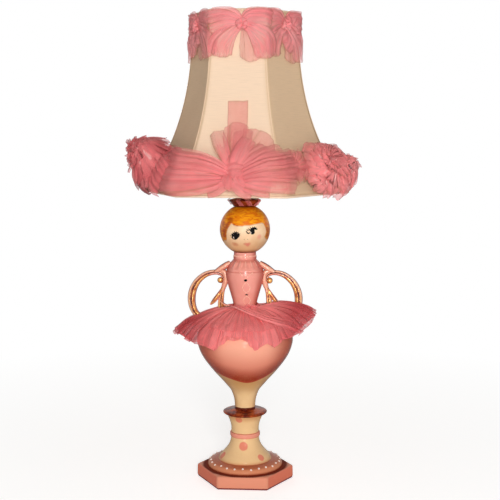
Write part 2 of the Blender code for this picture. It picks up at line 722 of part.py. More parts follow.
def make_head(stand):
    low_angle = math.asin(CHIN_RADIUS / HEAD_RADIUS)
    high_angle = math.pi - math.asin(CROWN_SEAT_RADIUS / HEAD_RADIUS)
    angles = [mix(low_angle, high_angle, step / 9) for step in range(10)]
    ball = [(HEAD_RADIUS * math.sin(a), HEAD_CENTRE - HEAD_RADIUS * math.cos(a)) for a in angles]
    turned("head", cast_shell(ball, CASTING_WALL), stand, "cream_glaze")

    crown = [
        (BORE_RADIUS, CROWN_LOW),
        (CROWN_SEAT_RADIUS + 0.0006, CROWN_LOW),
        (mix(CROWN_SEAT_RADIUS, CROWN_RADIUS, 0.35), mix(CROWN_LOW, CROWN_TOP, 0.28)),
        (CROWN_RADIUS, mix(CROWN_LOW, CROWN_TOP, 0.62)),
        (CROWN_RADIUS - 0.0005, mix(CROWN_LOW, CROWN_TOP, 0.74)),
        (mix(SPACER_RADIUS, CROWN_RADIUS, 0.45), mix(CROWN_LOW, CROWN_TOP, 0.84)),
        (SPACER_RADIUS + 0.0012, CROWN_TOP),
        (BORE_RADIUS, CROWN_TOP),
    ]
    turned("crown_cap", crown, stand, "copper_lustre", 24)
    waist = mix(SPACER_LOW, SPACER_TOP, 0.5)
    spacer = [
        (BORE_RADIUS, SPACER_LOW),
        (SPACER_RADIUS, SPACER_LOW),
        (SPACER_WAIST_RADIUS, waist),
        (SPACER_RADIUS, SPACER_TOP),
        (BORE_RADIUS, SPACER_TOP),
    ]
    turned("crown_spacer", spacer, stand, "brass", SMALL_SEGMENTS)

    ring_radius = SPACER_WAIST_RADIUS + WREATH_RADIUS + GAP
    ring_level = SPACER_LOW + WREATH_HEIGHT / 2
    ring = []
    for step in range(6):
        angle = math.tau * step / 6
        level = ring_level + WREATH_HEIGHT / 2 * math.sin(angle)
        ring.append((ring_radius + WREATH_RADIUS * math.cos(angle), level))
    turned("crown_tulle", ring, stand, "tulle", FINE_SEGMENTS)


# Tutu and waist ribbon.


def make_tutu(stand):
    ribbon_low = BODICE_LOW + GAP * 2
    ribbon_top = ribbon_low + RIBBON_WIDTH
    torso = torso_outline()
    inner_low = radius_at(torso, ribbon_low) + GAP * 2
    inner_mid = radius_at(torso, mix(ribbon_low, ribbon_top, 0.5)) + GAP * 2
    inner_top = radius_at(torso, ribbon_top) + GAP * 2
    ribbon = [
        (inner_low, ribbon_low),
        (inner_low + RIBBON_THICKNESS, ribbon_low),
        (inner_mid + RIBBON_THICKNESS, mix(ribbon_low, ribbon_top, 0.5)),
        (inner_top + RIBBON_THICKNESS, ribbon_top),
        (inner_top, ribbon_top),
        (inner_mid, mix(ribbon_low, ribbon_top, 0.5)),
    ]
    turned("waist_ribbon", ribbon, stand, "tulle", FINE_SEGMENTS)

    start = max(inner_low, inner_mid, inner_top) + RIBBON_THICKNESS + GAP * 1.5
    over_hips = ((0, 0), (0.18, 0.10), (0.38, 0.30), (0.55, 0.55), (0.74, 0.80), (1, 1))
    waist_level = BOWL_TOP + TUTU_RISE
    lower = [(mix(start, TUTU_RADIUS, out), waist_level - TUTU_DROP * down) for out, down in over_hips]
    upper = [(r, z + TUTU_THICKNESS * mix(0.6, 1.0, min(1, (r - start) / BOWL_RADIUS))) for r, z in lower]
    skirt = lower + list(reversed(upper))
    reach = TUTU_RADIUS * 2
    hips = BOWL_RADIUS * TUTU_HIPS
    for name, facing in (("tutu_front", -1), ("tutu_back", 1)):
        half = turned(name, skirt, stand, "tulle")
        for vert in half.data.vertices:
            radius = math.hypot(vert.co.x, vert.co.y)
            past_hips = max(0, radius - hips) / (TUTU_RADIUS - hips)
            lift = TUTU_TILT * vert.co.x + TUTU_SIDE_LIFT * (vert.co.x / radius) ** 2
            vert.co.z += lift * past_hips
        keep = sorted((facing * TUTU_SLOT, -facing * reach))
        away = block(f"{name}_trim", (-reach, keep[0], 0), (reach, keep[1], BODICE_LOW * 2), stand, "tulle")
        add_boolean(half, away)


# Harp, socket, bulb.


def make_saddle(stand):
    half = HARP_LEG_SPACING / 2
    middle = SADDLE_LOW + SADDLE_THICKNESS / 2
    bend = 0.006
    thick = SADDLE_THICKNESS / 2
    wide, narrow = SADDLE_WIDTH / 2, EAR_WIDTH / 2
    right = [
        (half - bend, middle, thick, wide),
        (half - bend * 0.3, middle + bend * 0.3, thick, wide),
        (half, middle + bend, thick, wide),
        (half, EAR_SHOULDER, thick, wide),
        (half, EAR_SHOULDER + GAP, thick, narrow),
        (half, EAR_TOP, thick, narrow),
    ]
    left = [(-x, z, width, depth) for x, z, width, depth in reversed(right)]
    square = ((1, 1), (-1, 1), (-1, -1), (1, -1))
    saddle = swept("harp_saddle", left + right, square, stand, "brass")
    hole = rod("saddle_hole", BORE_RADIUS, SADDLE_LOW - bend, SADDLE_TOP + bend, stand, "brass")
    add_boolean(saddle, hole)


def make_socket(stand):
    cap_inner = CAP_RADIUS - SOCKET_WALL
    hub = PIPE_RADIUS + 0.0032
    cap = [
        (BORE_RADIUS, CAP_LOW),
        (hub, CAP_LOW),
        (hub, mix(CAP_LOW, CAP_TOP, 0.22)),
        (mix(hub, CAP_RADIUS, 0.62), mix(CAP_LOW, CAP_TOP, 0.40)),
        (CAP_RADIUS, mix(CAP_LOW, CAP_TOP, 0.62)),
        (CAP_RADIUS, CAP_TOP),
        (cap_inner, CAP_TOP),
        (cap_inner, mix(CAP_LOW, CAP_TOP, 0.64)),
        (mix(hub, cap_inner, 0.60), mix(CAP_LOW, CAP_TOP, 0.47)),
        (BORE_RADIUS, mix(CAP_LOW, CAP_TOP, 0.44)),
    ]
    turned("socket_cap", cap, stand, "brass", FINE_SEGMENTS)

    lip = SHELL_TOP - 0.002
    bead = CAP_TOP + GAP + 0.0030
    shell_inner = SHELL_RADIUS - SOCKET_WALL
    shell = [
        (shell_inner, SHELL_LOW),
        (SHELL_RADIUS, SHELL_LOW),
        (SHELL_RADIUS, CAP_TOP + GAP),
        (CAP_RADIUS, CAP_TOP + GAP * 2),
        (CAP_RADIUS, bead),
        (SHELL_RADIUS, bead + 0.0008),
        (SHELL_RADIUS, lip),
        (SHELL_RADIUS + 0.0009, SHELL_TOP),
        (shell_inner, SHELL_TOP),
    ]
    socket_shell = turned("socket_shell", shell, stand, "brass", FINE_SEGMENTS)
    sleeve_bore = SLEEVE_RADIUS - SLEEVE_WALL
    sleeve_top = SHELL_TOP - 0.003
    sizes = (SLEEVE_RADIUS, sleeve_bore, BLOCK_LOW, sleeve_top)
    sleeve = tube("socket_sleeve", *sizes, stand, "card", FINE_SEGMENTS)
    sizes = (SCREW_SHELL_RADIUS, BLOCK_LOW, BLOCK_TOP)
    switch_block = rod("switch_block", *sizes, stand, "phenolic", FINE_SEGMENTS)
    for piece in (socket_shell, sleeve, switch_block):
        sizes = (STEM_RADIUS + GAP, STEM_INNER - GAP, CAP_RADIUS * 2)
        drill = rod(f"{piece.name}_drill", *sizes, stand, "steel")
        add_boolean(piece, lay_along_y(drill, SWITCH_LEVEL))

    shell_low = BLOCK_TOP + GAP
    screw_shell_bore = SCREW_SHELL_RADIUS - SOCKET_WALL
    screw_top = shell_low + SCREW_SHELL_HEIGHT
    sizes = (SCREW_SHELL_RADIUS, screw_shell_bore, shell_low, screw_top)
    tube("screw_shell", *sizes, stand, "aluminium", FINE_SEGMENTS)
    rod("centre_contact", CONTACT_RADIUS, CONTACT_LOW, CONTACT_TOP, stand, "brass")


def make_switch(switch):
    """The switch's stem and knob, about their own axis along +Y."""
    knob_low = CAP_RADIUS + KNOB_STANDOFF
    knob_top = knob_low + KNOB_LENGTH
    socket_depth = knob_low + KNOB_LENGTH * 0.6
    lay_along_y(rod("switch_stem", STEM_RADIUS, STEM_INNER, socket_depth - GAP, switch, "brass"), 0)
    bore = STEM_RADIUS + GAP
    knob = [
        (bore, knob_low),
        (KNOB_RADIUS * 0.7, knob_low),
        (KNOB_RADIUS, knob_low + KNOB_LENGTH * 0.25),
        (KNOB_RADIUS, knob_low + KNOB_LENGTH * 0.85),
        (KNOB_RADIUS * 0.7, knob_top),
        (0, knob_top),
        (0, socket_depth),
        (bore, socket_depth),
    ]
    ribs = (knob_low + KNOB_LENGTH * 0.2, knob_low + KNOB_LENGTH * 0.9, KNOB_RIBS, 0.0004, KNOB_RADIUS * 0.9)
    lay_along_y(turned("switch_knob", knob, switch, "phenolic", KNOB_RIBS * 2, ribs), 0)


def make_bulb(bulb):
    """The bulb, measured from its tip: a screw cap with a contact, and a pear-shaped glass."""
    cap = [
        (0, 0),
        (CONTACT_RADIUS, 0),
        (CONTACT_RADIUS, 0.0012),
        (BULB_CAP_RADIUS * 0.62, 0.0026),
        (BULB_CAP_RADIUS, 0.0070),
        (BULB_CAP_RADIUS, BULB_CAP_HEIGHT),
        (0, BULB_CAP_HEIGHT),
    ]
    turned("bulb_cap", cap, bulb, "aluminium", FINE_SEGMENTS)
    glass_low = BULB_CAP_HEIGHT + GAP
    centre = BULB_LENGTH - BULB_RADIUS
    neck = BULB_CAP_RADIUS - 0.0004
    throat = [
        (neck, glass_low),
        (neck + 0.0006, mix(glass_low, centre, 0.18)),
        (BULB_RADIUS * 0.70, mix(glass_low, centre, 0.52)),
        (BULB_RADIUS * 0.93, mix(glass_low, centre, 0.80)),
    ]
    dome = [math.pi / 2 * step / 5 for step in range(6)]
    outer = [*throat, *[(BULB_RADIUS * math.cos(a), centre + BULB_RADIUS * math.sin(a)) for a in dome]]
    outer[-1] = (0, BULB_LENGTH)
    inner = [(r - BULB_GLASS_WALL, z) for r, z in outer[:-1:2]]
    inner.append((0, BULB_LENGTH - BULB_GLASS_WALL))
    turned("bulb_glass", [*outer, *reversed(inner)], bulb, "opal_glass", FINE_SEGMENTS)


def make_harp(harp, ferrules):
    """The loop that carries the shade, measured from the saddle, and the sleeves that lock its feet."""
    leg = HARP_LEG_SPACING / 2
    foot = HARP_FOOT - SADDLE_LOW
    knee = foot + HARP_LEG_STRAIGHT
    bow = ((0, 0), (0.05, 0.06), (0.11, 0.24), (0.20, 0.52), (0.30, 0.81), (0.39, 0.96), (0.47, 1.0))
    lower = [(mix(leg, HARP_HALF_WIDTH, out), 0, mix(knee, HARP_HEIGHT, up)) for up, out in bow]
    top = ((0.55, 0.99), (0.66, 0.92), (0.77, 0.76), (0.87, 0.54), (0.94, 0.32), (0.985, 0.16), (1.0, 0.06))
    upper = [(HARP_HALF_WIDTH * out, 0, mix(knee, HARP_HEIGHT, up)) for up, out in top]
    right = [(leg, 0, foot), *lower, *upper]
    left = [(-x, y, z) for x, y, z in reversed(right)]
    wires("harp_wire", [(right + left, Vector((0, 1, 0)))], HARP_WIRE_RADIUS, harp, "brass")
    low = SEAT_LOW - SADDLE_LOW
    seat = [
        (0, low),
        (SEAT_RADIUS, low),
        (SEAT_RADIUS, low + SEAT_THICKNESS),
        (STUD_RADIUS, low + SEAT_THICKNESS),
        (STUD_RADIUS, low + SEAT_THICKNESS + STUD_HEIGHT),
        (0, low + SEAT_THICKNESS + STUD_HEIGHT),
    ]
    turned("harp_seat", seat, harp, "brass", FINE_SEGMENTS)
    for name, ferrule in ferrules.items():
        bore = FERRULE_RADIUS - FERRULE_WALL
        tube(name, FERRULE_RADIUS, bore, 0, FERRULE_LENGTH, ferrule, "brass")


# Shade.


def shade_levels():
    """The heights where the panels and ribs bend, from the rim up."""
    downs = [(span / BELL_SPANS) ** 0.72 for span in range(BELL_SPANS, -1, -1)]
    return [SHADE_TOP - SHADE_HEIGHT * down for down in downs]


def shade_radius(height):
    """Centre to corner of the outer face: near straight at the top, flaring like a bell past its rim."""
    levels = shade_levels()
    flares = [((SHADE_TOP - level) / SHADE_HEIGHT) ** BELL_FLARE for level in levels]
    bell = [mix(SHADE_TOP_RADIUS, SHADE_BOTTOM_RADIUS, flare) for flare in flares]
    if height >= SHADE_TOP:
        return bell[-1]
    if height <= SHADE_LOW:
        return mix(bell[0], bell[1], (height - levels[0]) / (levels[1] - levels[0]))
    return radius_at(list(zip(bell, levels)), height)


def shade_slope(height):
    """How much farther a wall of the shade measures across than square to its face."""
    step = SHADE_HEIGHT / 100
    run = (shade_radius(height - step) - shade_radius(height + step)) * math.cos(math.pi / SIDES)
    return math.hypot(run, 2 * step) / (2 * step)


def panel_point(side, across, height, out=0.0, margin=GAP):
    """A point near one side of the shade: across runs from -1 to 1 between corners, out is off its face."""
    flat = shade_radius(height) * math.cos(math.pi / SIDES) + out * shade_slope(height)
    sideways = across * (flat * math.tan(math.pi / SIDES) - margin)
    facing = math.tau * side / SIDES - math.pi / 2
    normal = Vector((math.cos(facing), math.sin(facing), 0))
    along = Vector((-normal.y, normal.x, 0))
    return normal * flat + along * sideways + Vector((0, 0, height))


def corner_point(corner, height, inward):
    """A point inward of the corner after a side, by a distance square to both faces."""
    angle = math.tau * (corner + 0.5) / SIDES - math.pi / 2
    radius = shade_radius(height) - inward * shade_slope(height) / math.cos(math.pi / SIDES)
    return Vector((radius * math.cos(angle), radius * math.sin(angle), height))


def skin_piece(name, side, columns, rows, inner, outer, shade, material):
    """A closed piece that lies on one side of the shade, between two offsets from its face.

    inner and outer give (height, offset) at a place across from -1 to 1 and a row.
    """
    shape = bmesh.new()
    grids = []
    for face in (inner, outer):
        grid = []
        for column in range(columns + 1):
            across = mix(-1, 1, column / columns)
            points = [face(across, row) for row in range(rows + 1)]
            grid.append([shape.verts.new(panel_point(side, across, z, out)) for z, out in points])
        grids.append(grid)
    for grid in grids:
        for column in range(columns):
            for row in range(rows):
                left, right = grid[column], grid[column + 1]
                shape.faces.new((left[row], right[row], right[row + 1], left[row + 1]))
    border = [(column, 0) for column in range(columns)] + [(columns, row) for row in range(rows)]
    border += [(columns - column, rows) for column in range(columns)]
    border += [(0, rows - row) for row in range(rows)]
    for start, end in zip(border, border[1:] + border[:1]):
        low = [grids[0][c][r] for c, r in (start, end)]
        high = [grids[1][c][r] for c, r in (end, start)]
        shape.faces.new(low + high)
    return add_mesh(name, shape, shade, material)


def make_bow(name, side, low, high, knot, thickness, shade):
    """The solid of one gathered bow: pinched at its knot in the middle, full towards both corners."""

    def spread(across):
        return math.sin(math.pi * 0.75 * abs(across))

    def height_at(across, row):
        share = mix(0.34, 1.0, spread(across))
        bottom, top = mix(knot, low, share), mix(knot, high, share)
        return mix(bottom, top, row / BOW_ROWS)

    def inner(across, row):
        return height_at(across, row), GAP

    def outer(across, row):
        crown = math.sin(math.pi * row / BOW_ROWS) * mix(0.5, 1.0, spread(across))
        return height_at(across, row), mix(BOW_EDGE, thickness, crown)

    skin_piece(name, side, BOW_COLUMNS, BOW_ROWS, inner, outer, shade, "tulle")


def make_swag(name, side, swells, shade):
    """The solid of one full rim bow, from the swell that it has at each of its columns."""

    def swell_at(across):
        return swells[round((across + 1) / 2 * BOW_COLUMNS)]

    def height_at(across, row):
        low, high, _ = swell_at(across)
        return SHADE_LOW + HEM_BOW_HEIGHT * mix(low, high, SWAG_SECTION[row][0])

    def inner(across, row):
        return height_at(across, row), GAP

    def outer(across, row):
        return height_at(across, row), HEM_BOW_THICKNESS * swell_at(across)[2] * SWAG_SECTION[row][1]

    skin_piece(name, side, BOW_COLUMNS, BOW_ROWS, inner, outer, shade, "tulle")


def make_shade(shade):
    levels = shade_levels()
    swags = (FRONT_SWAG, RIGHT_ROSETTE, BACK_SWAG, BACK_SWAG, BACK_SWAG, LEFT_ROSETTE)

    def outside(across, row):
        return levels[row], 0.0

    def inside(across, row):
        return levels[row], -PANEL_THICKNESS

    for side, place in enumerate(SIDE_NAMES):
        skin_piece(f"shade_panel_{place}", side, 1, BELL_SPANS, inside, outside, shade, "satin")
        make_swag(f"hem_bow_{place}", side, swags[side], shade)
        high = SHADE_TOP + TOP_RISE
        knot = high - TOP_BOW_HEIGHT * 0.34
        make_bow(f"top_bow_{place}", side, high - TOP_BOW_HEIGHT, high, knot, TOP_BOW_THICKNESS, shade)

    upright = Vector((0, 0, 1))
    wire_in = GAP + PANEL_THICKNESS + FRAME_WIRE_RADIUS
    ring_top = SHADE_TOP - FRAME_WIRE_RADIUS
    ring_low = SHADE_LOW + FRAME_WIRE_RADIUS
    low_ring = [corner_point(corner, ring_low, wire_in) for corner in range(SIDES)]
    frame = wires("shade_frame", [(low_ring, upright)], FRAME_WIRE_RADIUS, shade, "brass", cyclic=True)
    rib_levels = [ring_low, *levels[1:-1], ring_top - FRAME_WIRE_RADIUS - GAP]
    ribs = []
    for corner in range(SIDES):
        points = [corner_point(corner, level, wire_in) for level in rib_levels]
        ribs.append((points, points[0].cross(upright).normalized()))
    add_boolean(frame, wires("shade_ribs", ribs, RIB_RADIUS, shade, "brass"), "UNION")

    top_ring = [corner_point(corner, ring_top, wire_in) for corner in range(SIDES)]
    spider = wires("shade_spider", [(top_ring, upright)], FRAME_WIRE_RADIUS, shade, "brass", cyclic=True)
    start, level = SPIDER_WASHER_RADIUS - GAP * 3, SPIDER_TOP - RIB_RADIUS
    arms = []
    for end in top_ring[:: SIDES // SPIDER_ARMS]:
        reach = Vector((end.x, end.y, 0)).length
        outward = Vector((end.x, end.y, 0)) / reach
        path = ((start, level), (mix(start, reach, 0.25), level), (reach, ring_top))
        arms.append(([outward * out + upright * height for out, height in path], outward.cross(upright)))
    add_boolean(spider, wires("shade_arms", arms, RIB_RADIUS, shade, "brass"), "UNION")
    hub = STUD_RADIUS + GAP * 2
    sizes = (SPIDER_WASHER_RADIUS, hub, SPIDER_LOW, SPIDER_TOP)
    add_boolean(spider, tube("shade_washer", *sizes, shade, "brass", FINE_SEGMENTS), "UNION")


def make_finial(finial):
    """The nut that holds the shade, measured from its foot: a blind threaded hole under a turned ball."""
    bore = STUD_RADIUS + GAP
    depth = STUD_HEIGHT + GAP * 4
    centre = FINIAL_HEIGHT - FINIAL_RADIUS - 0.002
    ball = [math.radians(angle) for angle in (-62, -35, -8, 20, 48, 70)]
    outline = [
        (bore, 0),
        (FINIAL_FOOT_RADIUS, 0),
        (FINIAL_FOOT_RADIUS, 0.0018),
        (FINIAL_FOOT_RADIUS * 0.70, 0.0036),
        (FINIAL_FOOT_RADIUS * 0.70, 0.0060),
        *[(FINIAL_RADIUS * math.cos(a), centre + FINIAL_RADIUS * math.sin(a)) for a in ball],
        (0.0016, FINIAL_HEIGHT - 0.0006),
        (0, FINIAL_HEIGHT),
        (0, depth),
        (bore, depth - 0.001),
    ]
    turned("finial", outline, finial, "brass", SMALL_SEGMENTS)


def main():
    start_empty_scene()
    stand = add_body("stand")
    switch = add_body("switch", (0, 0, SWITCH_LEVEL))
    bulb = add_body("bulb", (0, 0, BULB_LOW))
    harp = add_body("harp", (0, 0, SADDLE_LOW))
    shade = add_body("shade", turn=SHADE_TURN)
    finial = add_body("finial_axis", (0, 0, FINIAL_LOW))
    leg = HARP_LEG_SPACING / 2
    ferrules = {
        "ferrule_left": add_body("ferrule_axis_left", (-leg, 0, FERRULE_LOW)),
        "ferrule_right": add_body("ferrule_axis_right", (leg, 0, FERRULE_LOW)),
    }
    make_foot(stand)
    make_urn(stand)
    make_handle("handle_left", -1, stand)
    make_handle("handle_right", 1, stand)
    make_head(stand)
    make_tutu(stand)
    make_saddle(stand)
    make_socket(stand)
    make_switch(switch)
    make_bulb(bulb)
    make_harp(harp, ferrules)
    make_shade(shade)
    make_finial(finial)


main()
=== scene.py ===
"""A ballerina table lamp: its looks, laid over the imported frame."""
import math

import bmesh
import bpy
import numpy as np
from mathutils import Matrix, Vector


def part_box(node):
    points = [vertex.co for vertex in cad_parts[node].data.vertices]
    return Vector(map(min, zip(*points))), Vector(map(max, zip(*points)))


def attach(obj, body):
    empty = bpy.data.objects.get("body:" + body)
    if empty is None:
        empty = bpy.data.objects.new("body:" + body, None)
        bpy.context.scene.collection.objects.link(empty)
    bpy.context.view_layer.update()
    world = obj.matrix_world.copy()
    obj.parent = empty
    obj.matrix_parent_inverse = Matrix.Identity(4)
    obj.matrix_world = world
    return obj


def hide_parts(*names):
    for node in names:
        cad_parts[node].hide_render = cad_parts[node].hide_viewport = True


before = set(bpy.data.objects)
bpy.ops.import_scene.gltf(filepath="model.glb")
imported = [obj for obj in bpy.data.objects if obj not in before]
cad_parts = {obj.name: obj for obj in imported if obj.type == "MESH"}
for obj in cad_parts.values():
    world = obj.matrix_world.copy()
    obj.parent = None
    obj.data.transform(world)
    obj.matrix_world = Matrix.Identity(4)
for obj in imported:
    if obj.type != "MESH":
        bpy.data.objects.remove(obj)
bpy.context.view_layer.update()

TURN = math.tau
UP = Vector((0, 0, 1))


def mix(low, high, share):
    return low + (high - low) * share


def eased(share):
    share = min(1.0, max(0.0, share))
    return share * share * (3 - 2 * share)


def eased_array(share):
    share = np.clip(share, 0, 1)
    return share * share * (3 - 2 * share)


def colour(red, green, blue):
    """A screen colour, 0 to 255 each, as the linear values that a shader takes."""
    values = (c / 255 for c in (red, green, blue))
    return tuple(c / 12.92 if c < 0.04045 else ((c + 0.055) / 1.055) ** 2.4 for c in values) + (1.0,)


# Camera.

camera = bpy.data.objects.new("camera", bpy.data.cameras.new("camera"))
bpy.context.scene.collection.objects.link(camera)
bpy.context.scene.camera = camera
camera.data.lens = 75.1
camera.data.sensor_width = 36
heading, pitch = math.radians(3.5), math.radians(6.7)
camera_back = Vector((math.sin(heading), -math.cos(heading), 0))
camera_side = Vector((math.cos(heading), math.sin(heading), 0))
camera_away, camera_level, camera_aside = 1.40, 0.48, 0.0068
camera.location = camera_back * camera_away + UP * camera_level + camera_side * camera_aside
camera_aim = -camera_back * math.cos(pitch) - UP * math.sin(pitch)
camera.rotation_euler = camera_aim.to_track_quat("-Z", "Y").to_euler()


# Shader recipes.


class Value:
    """A shader socket. Arithmetic on it adds the Math nodes that work it out."""

    def __init__(self, owner, socket):
        self.owner, self.socket = owner, socket

    def maths(self, operation, *values):
        return self.owner.node("ShaderNodeMath", {"operation": operation}, dict(enumerate(values)))

    def __add__(self, other):
        return self.maths("ADD", self, other)

    __radd__ = __add__

    def __sub__(self, other):
        return self.maths("SUBTRACT", self, other)

    def __rsub__(self, other):
        return self.maths("SUBTRACT", other, self)

    def __mul__(self, other):
        return self.maths("MULTIPLY", self, other)

    __rmul__ = __mul__

    def __truediv__(self, other):
        return self.maths("DIVIDE", self, other)

    def __pow__(self, other):
        return self.maths("POWER", self, other)

    def __abs__(self):
        return self.maths("ABSOLUTE", self)

    def __mod__(self, other):
        return self.maths("FLOORED_MODULO", self, other)

    def wave(self):
        return self.maths("SINE", self)

    def at_most(self, other):
        return self.maths("MINIMUM", self, other)

    def at_least(self, other):
        return self.maths("MAXIMUM", self, other)

    def between(self, low, high):
        """0 below low, 1 above high and a soft step between them; a high under low turns it round."""
        if high < low:
            return 1 - self.between(high, low)
        limits = {"Value": self, "From Min": low, "From Max": high}
        return self.owner.node("ShaderNodeMapRange", {"interpolation_type": "SMOOTHSTEP"}, limits)


class ShaderTree:
    """The nodes of a world or a material, from an empty start."""

    def __init__(self, owner):
        owner.use_nodes = True
        self.tree = owner.node_tree
        self.tree.nodes.clear()

    def feed(self, node, key, value):
        if isinstance(value, Value):
            self.tree.links.new(value.socket, node.inputs[key])
        else:
            node.inputs[key].default_value = value

    def node(self, kind, settings=None, inputs=None, output=0):
        """Adds a node: its settings first, then the values or links of its sockets."""
        made = self.tree.nodes.new(kind)
        for name, value in (settings or {}).items():
            setattr(made, name, value)
        for key, value in (inputs or {}).items():
            self.feed(made, key, value)
        return Value(self, made.outputs[output])

    def end(self, kind, surface):
        """Adds the output node, and shows a shader on it."""
        self.tree.links.new(surface.socket, self.tree.nodes.new(kind).inputs["Surface"])


class Recipe(ShaderTree):
    """A material built on one Principled shader."""

    def __init__(self, name):
        self.material = bpy.data.materials.new(name)
        super().__init__(self.material)
        self.shader = self.tree.nodes.new("ShaderNodeBsdfPrincipled")
        self.end("ShaderNodeOutputMaterial", Value(self, self.shader.outputs["BSDF"]))

    def set(self, values):
        for key, value in values.items():
            self.feed(self.shader, key.replace("_", " ").title().replace("Ior", "IOR"), value)

    def place(self):
        return self.node("ShaderNodeTexCoord", output="Object")

    def axes(self, vector=None):
        vector = vector or self.place()
        return [self.node("ShaderNodeSeparateXYZ", inputs={0: vector}, output=k) for k in range(3)]

    def cloth(self):
        """Where a point lies on its cloth, in metres."""
        return self.node("ShaderNodeUVMap", {"uv_map": "cloth"})

    def mark(self, name):
        """A value that a piece carries on its points."""
        return self.node("ShaderNodeAttribute", {"attribute_name": name}, output="Fac")

    def stretched(self, scale, vector=None):
        inputs = {"Vector": vector or self.place(), "Scale": scale}
        return self.node("ShaderNodeMapping", inputs=inputs)

    def mottle(self, scale, detail=3.0, vector=None, rough=0.5, bend=0.0):
        inputs = {"Vector": vector or self.place(), "Scale": scale, "Detail": detail}
        inputs |= {"Roughness": rough, "Distortion": bend}
        return self.node("ShaderNodeTexNoise", inputs=inputs)

    def blend(self, factor, first, second):
        """Mixes two colours. A Mix node has its colour sockets at 6 and 7, and its mixed colour at 2."""
        return self.node("ShaderNodeMix", {"data_type": "RGBA"}, {0: factor, 6: first, 7: second}, 2)

    def relief(self, height, distance, strength=1.0):
        inputs = {"Height": height, "Distance": distance, "Strength": strength}
        return self.node("ShaderNodeBump", inputs=inputs)


CREAM = colour(240, 200, 148)
TAN = colour(222, 172, 112)
PINK = colour(240, 156, 134)
ROSE = colour(190, 70, 50)
OXBLOOD = colour(92, 20, 8)
WHITE_SLIP = colour(255, 246, 234)
NET_PITCH = 0.0015


def hand_glaze(recipe, paint, gloss=0.14, dull=0.0):
    """Finishes a recipe as clear glaze over paint, slightly uneven; dull takes its gloss away in places."""
    pool = recipe.mottle(38, 2)
    speck = recipe.mottle(900, 1)
    soft = recipe.blend(speck.between(0.52, 0.74) * 0.16, paint, TAN)
    recipe.set(
        {
            "base_color": soft,
            "roughness": 0.06 + 0.07 * pool + dull,
            "specular_ior_level": gloss,
            "normal": recipe.relief(pool + 0.15 * recipe.mottle(210, 2), 0.0006, 0.5),
        }
    )
    return recipe.material


def banded(recipe, height, bands):
    """Paint that changes at heights: bands is (height, softness, colour) from the foot up."""
    paint = bands[0][2]
    for level, soft, shade in bands[1:]:
        paint = recipe.blend(height.between(level - soft, level + soft), paint, shade)
    return paint


def distance_to(recipe, point):
    ends = {0: recipe.place(), 1: point}
    return recipe.node("ShaderNodeVectorMath", {"operation": "DISTANCE"}, ends, "Value")


def foot_glaze():
    """Salmon plinth and ring, cream column with loose pink spots, and a pink band between brown lines."""
    recipe = Recipe("foot_glaze")
    along_x, along_y, level_here = recipe.axes()
    radius_here = (along_x * along_x + along_y * along_y) ** 0.5
    height = level_here + 0.0011 * (recipe.mottle(120, 2) - 0.5)
    bands = [
        (0, 0, PINK),
        (PLINTH_TOP + 0.0002, 0.0008, colour(222, 140, 108)),
        (FLARE_FOOT, 0.0007, CREAM),
        (BAND_LOW, 0.0004, PINK),
        (BAND_TOP, 0.0004, CREAM),
    ]
    paint = banded(recipe, height, bands)
    for angle, level, size in SPOTS:
        radius = radius_on(PEDESTAL, level)
        centre = (radius * math.sin(math.radians(angle)), -radius * math.cos(math.radians(angle)), level)
        away = distance_to(recipe, centre) + 0.0014 * (recipe.mottle(200, 1) - 0.5)
        paint = recipe.blend(away.between(size, size * 0.75) * 0.85, paint, colour(230, 122, 104))
    for level, width in ((FLARE_FOOT, 0.0009), (BAND_LOW, 0.0009), (BAND_TOP, 0.0006)):
        line = abs(height - level).between(width, width * 0.2)
        paint = recipe.blend(line * 0.6, paint, ROSE)
    # Painted shade: browner high on the column under the collar, and a little browner from the flare's foot
    # down.
    shaded = height.between(0.080, PEDESTAL_TOP) * 0.6 + height.between(0.0335, FLARE_FOOT) * 0.25
    paint = recipe.blend(shaded, paint, colour(190, 120, 60))
    on_top = abs(level_here - PLINTH_TOP).between(0.0014, 0.0002) * radius_here.between(0.0610, 0.0560)
    paint = recipe.blend(on_top * 0.95, paint, colour(92, 14, 4))
    near_flare = level_here.between(FLARE_FOOT - 0.0030, FLARE_FOOT - 0.0010)
    ring_top = near_flare * radius_here.between(0.0345, 0.0380)
    paint = recipe.blend(ring_top * 0.6, paint, colour(176, 84, 52))
    near_plinth = level_here.between(PLINTH_TOP + 0.0036, PLINTH_TOP + 0.0004)
    ring_root = near_plinth * radius_here.between(0.0560, 0.0500)
    paint = recipe.blend(ring_root * 0.6, paint, colour(150, 54, 30))
    # Painted shade: the plinth's slanting side faces, below their top edge, take a deeper red than its front
    # and back.
    under_edge = level_here.between(PLINTH_TOP - 0.0004, PLINTH_TOP - 0.0016)
    shaded_side_faces = abs(along_x).between(0.0342, 0.0350) * under_edge
    paint = recipe.blend(shaded_side_faces * 0.40, paint, colour(236, 84, 56))
    return hand_glaze(recipe, paint, 0.06, on_top * 0.6)


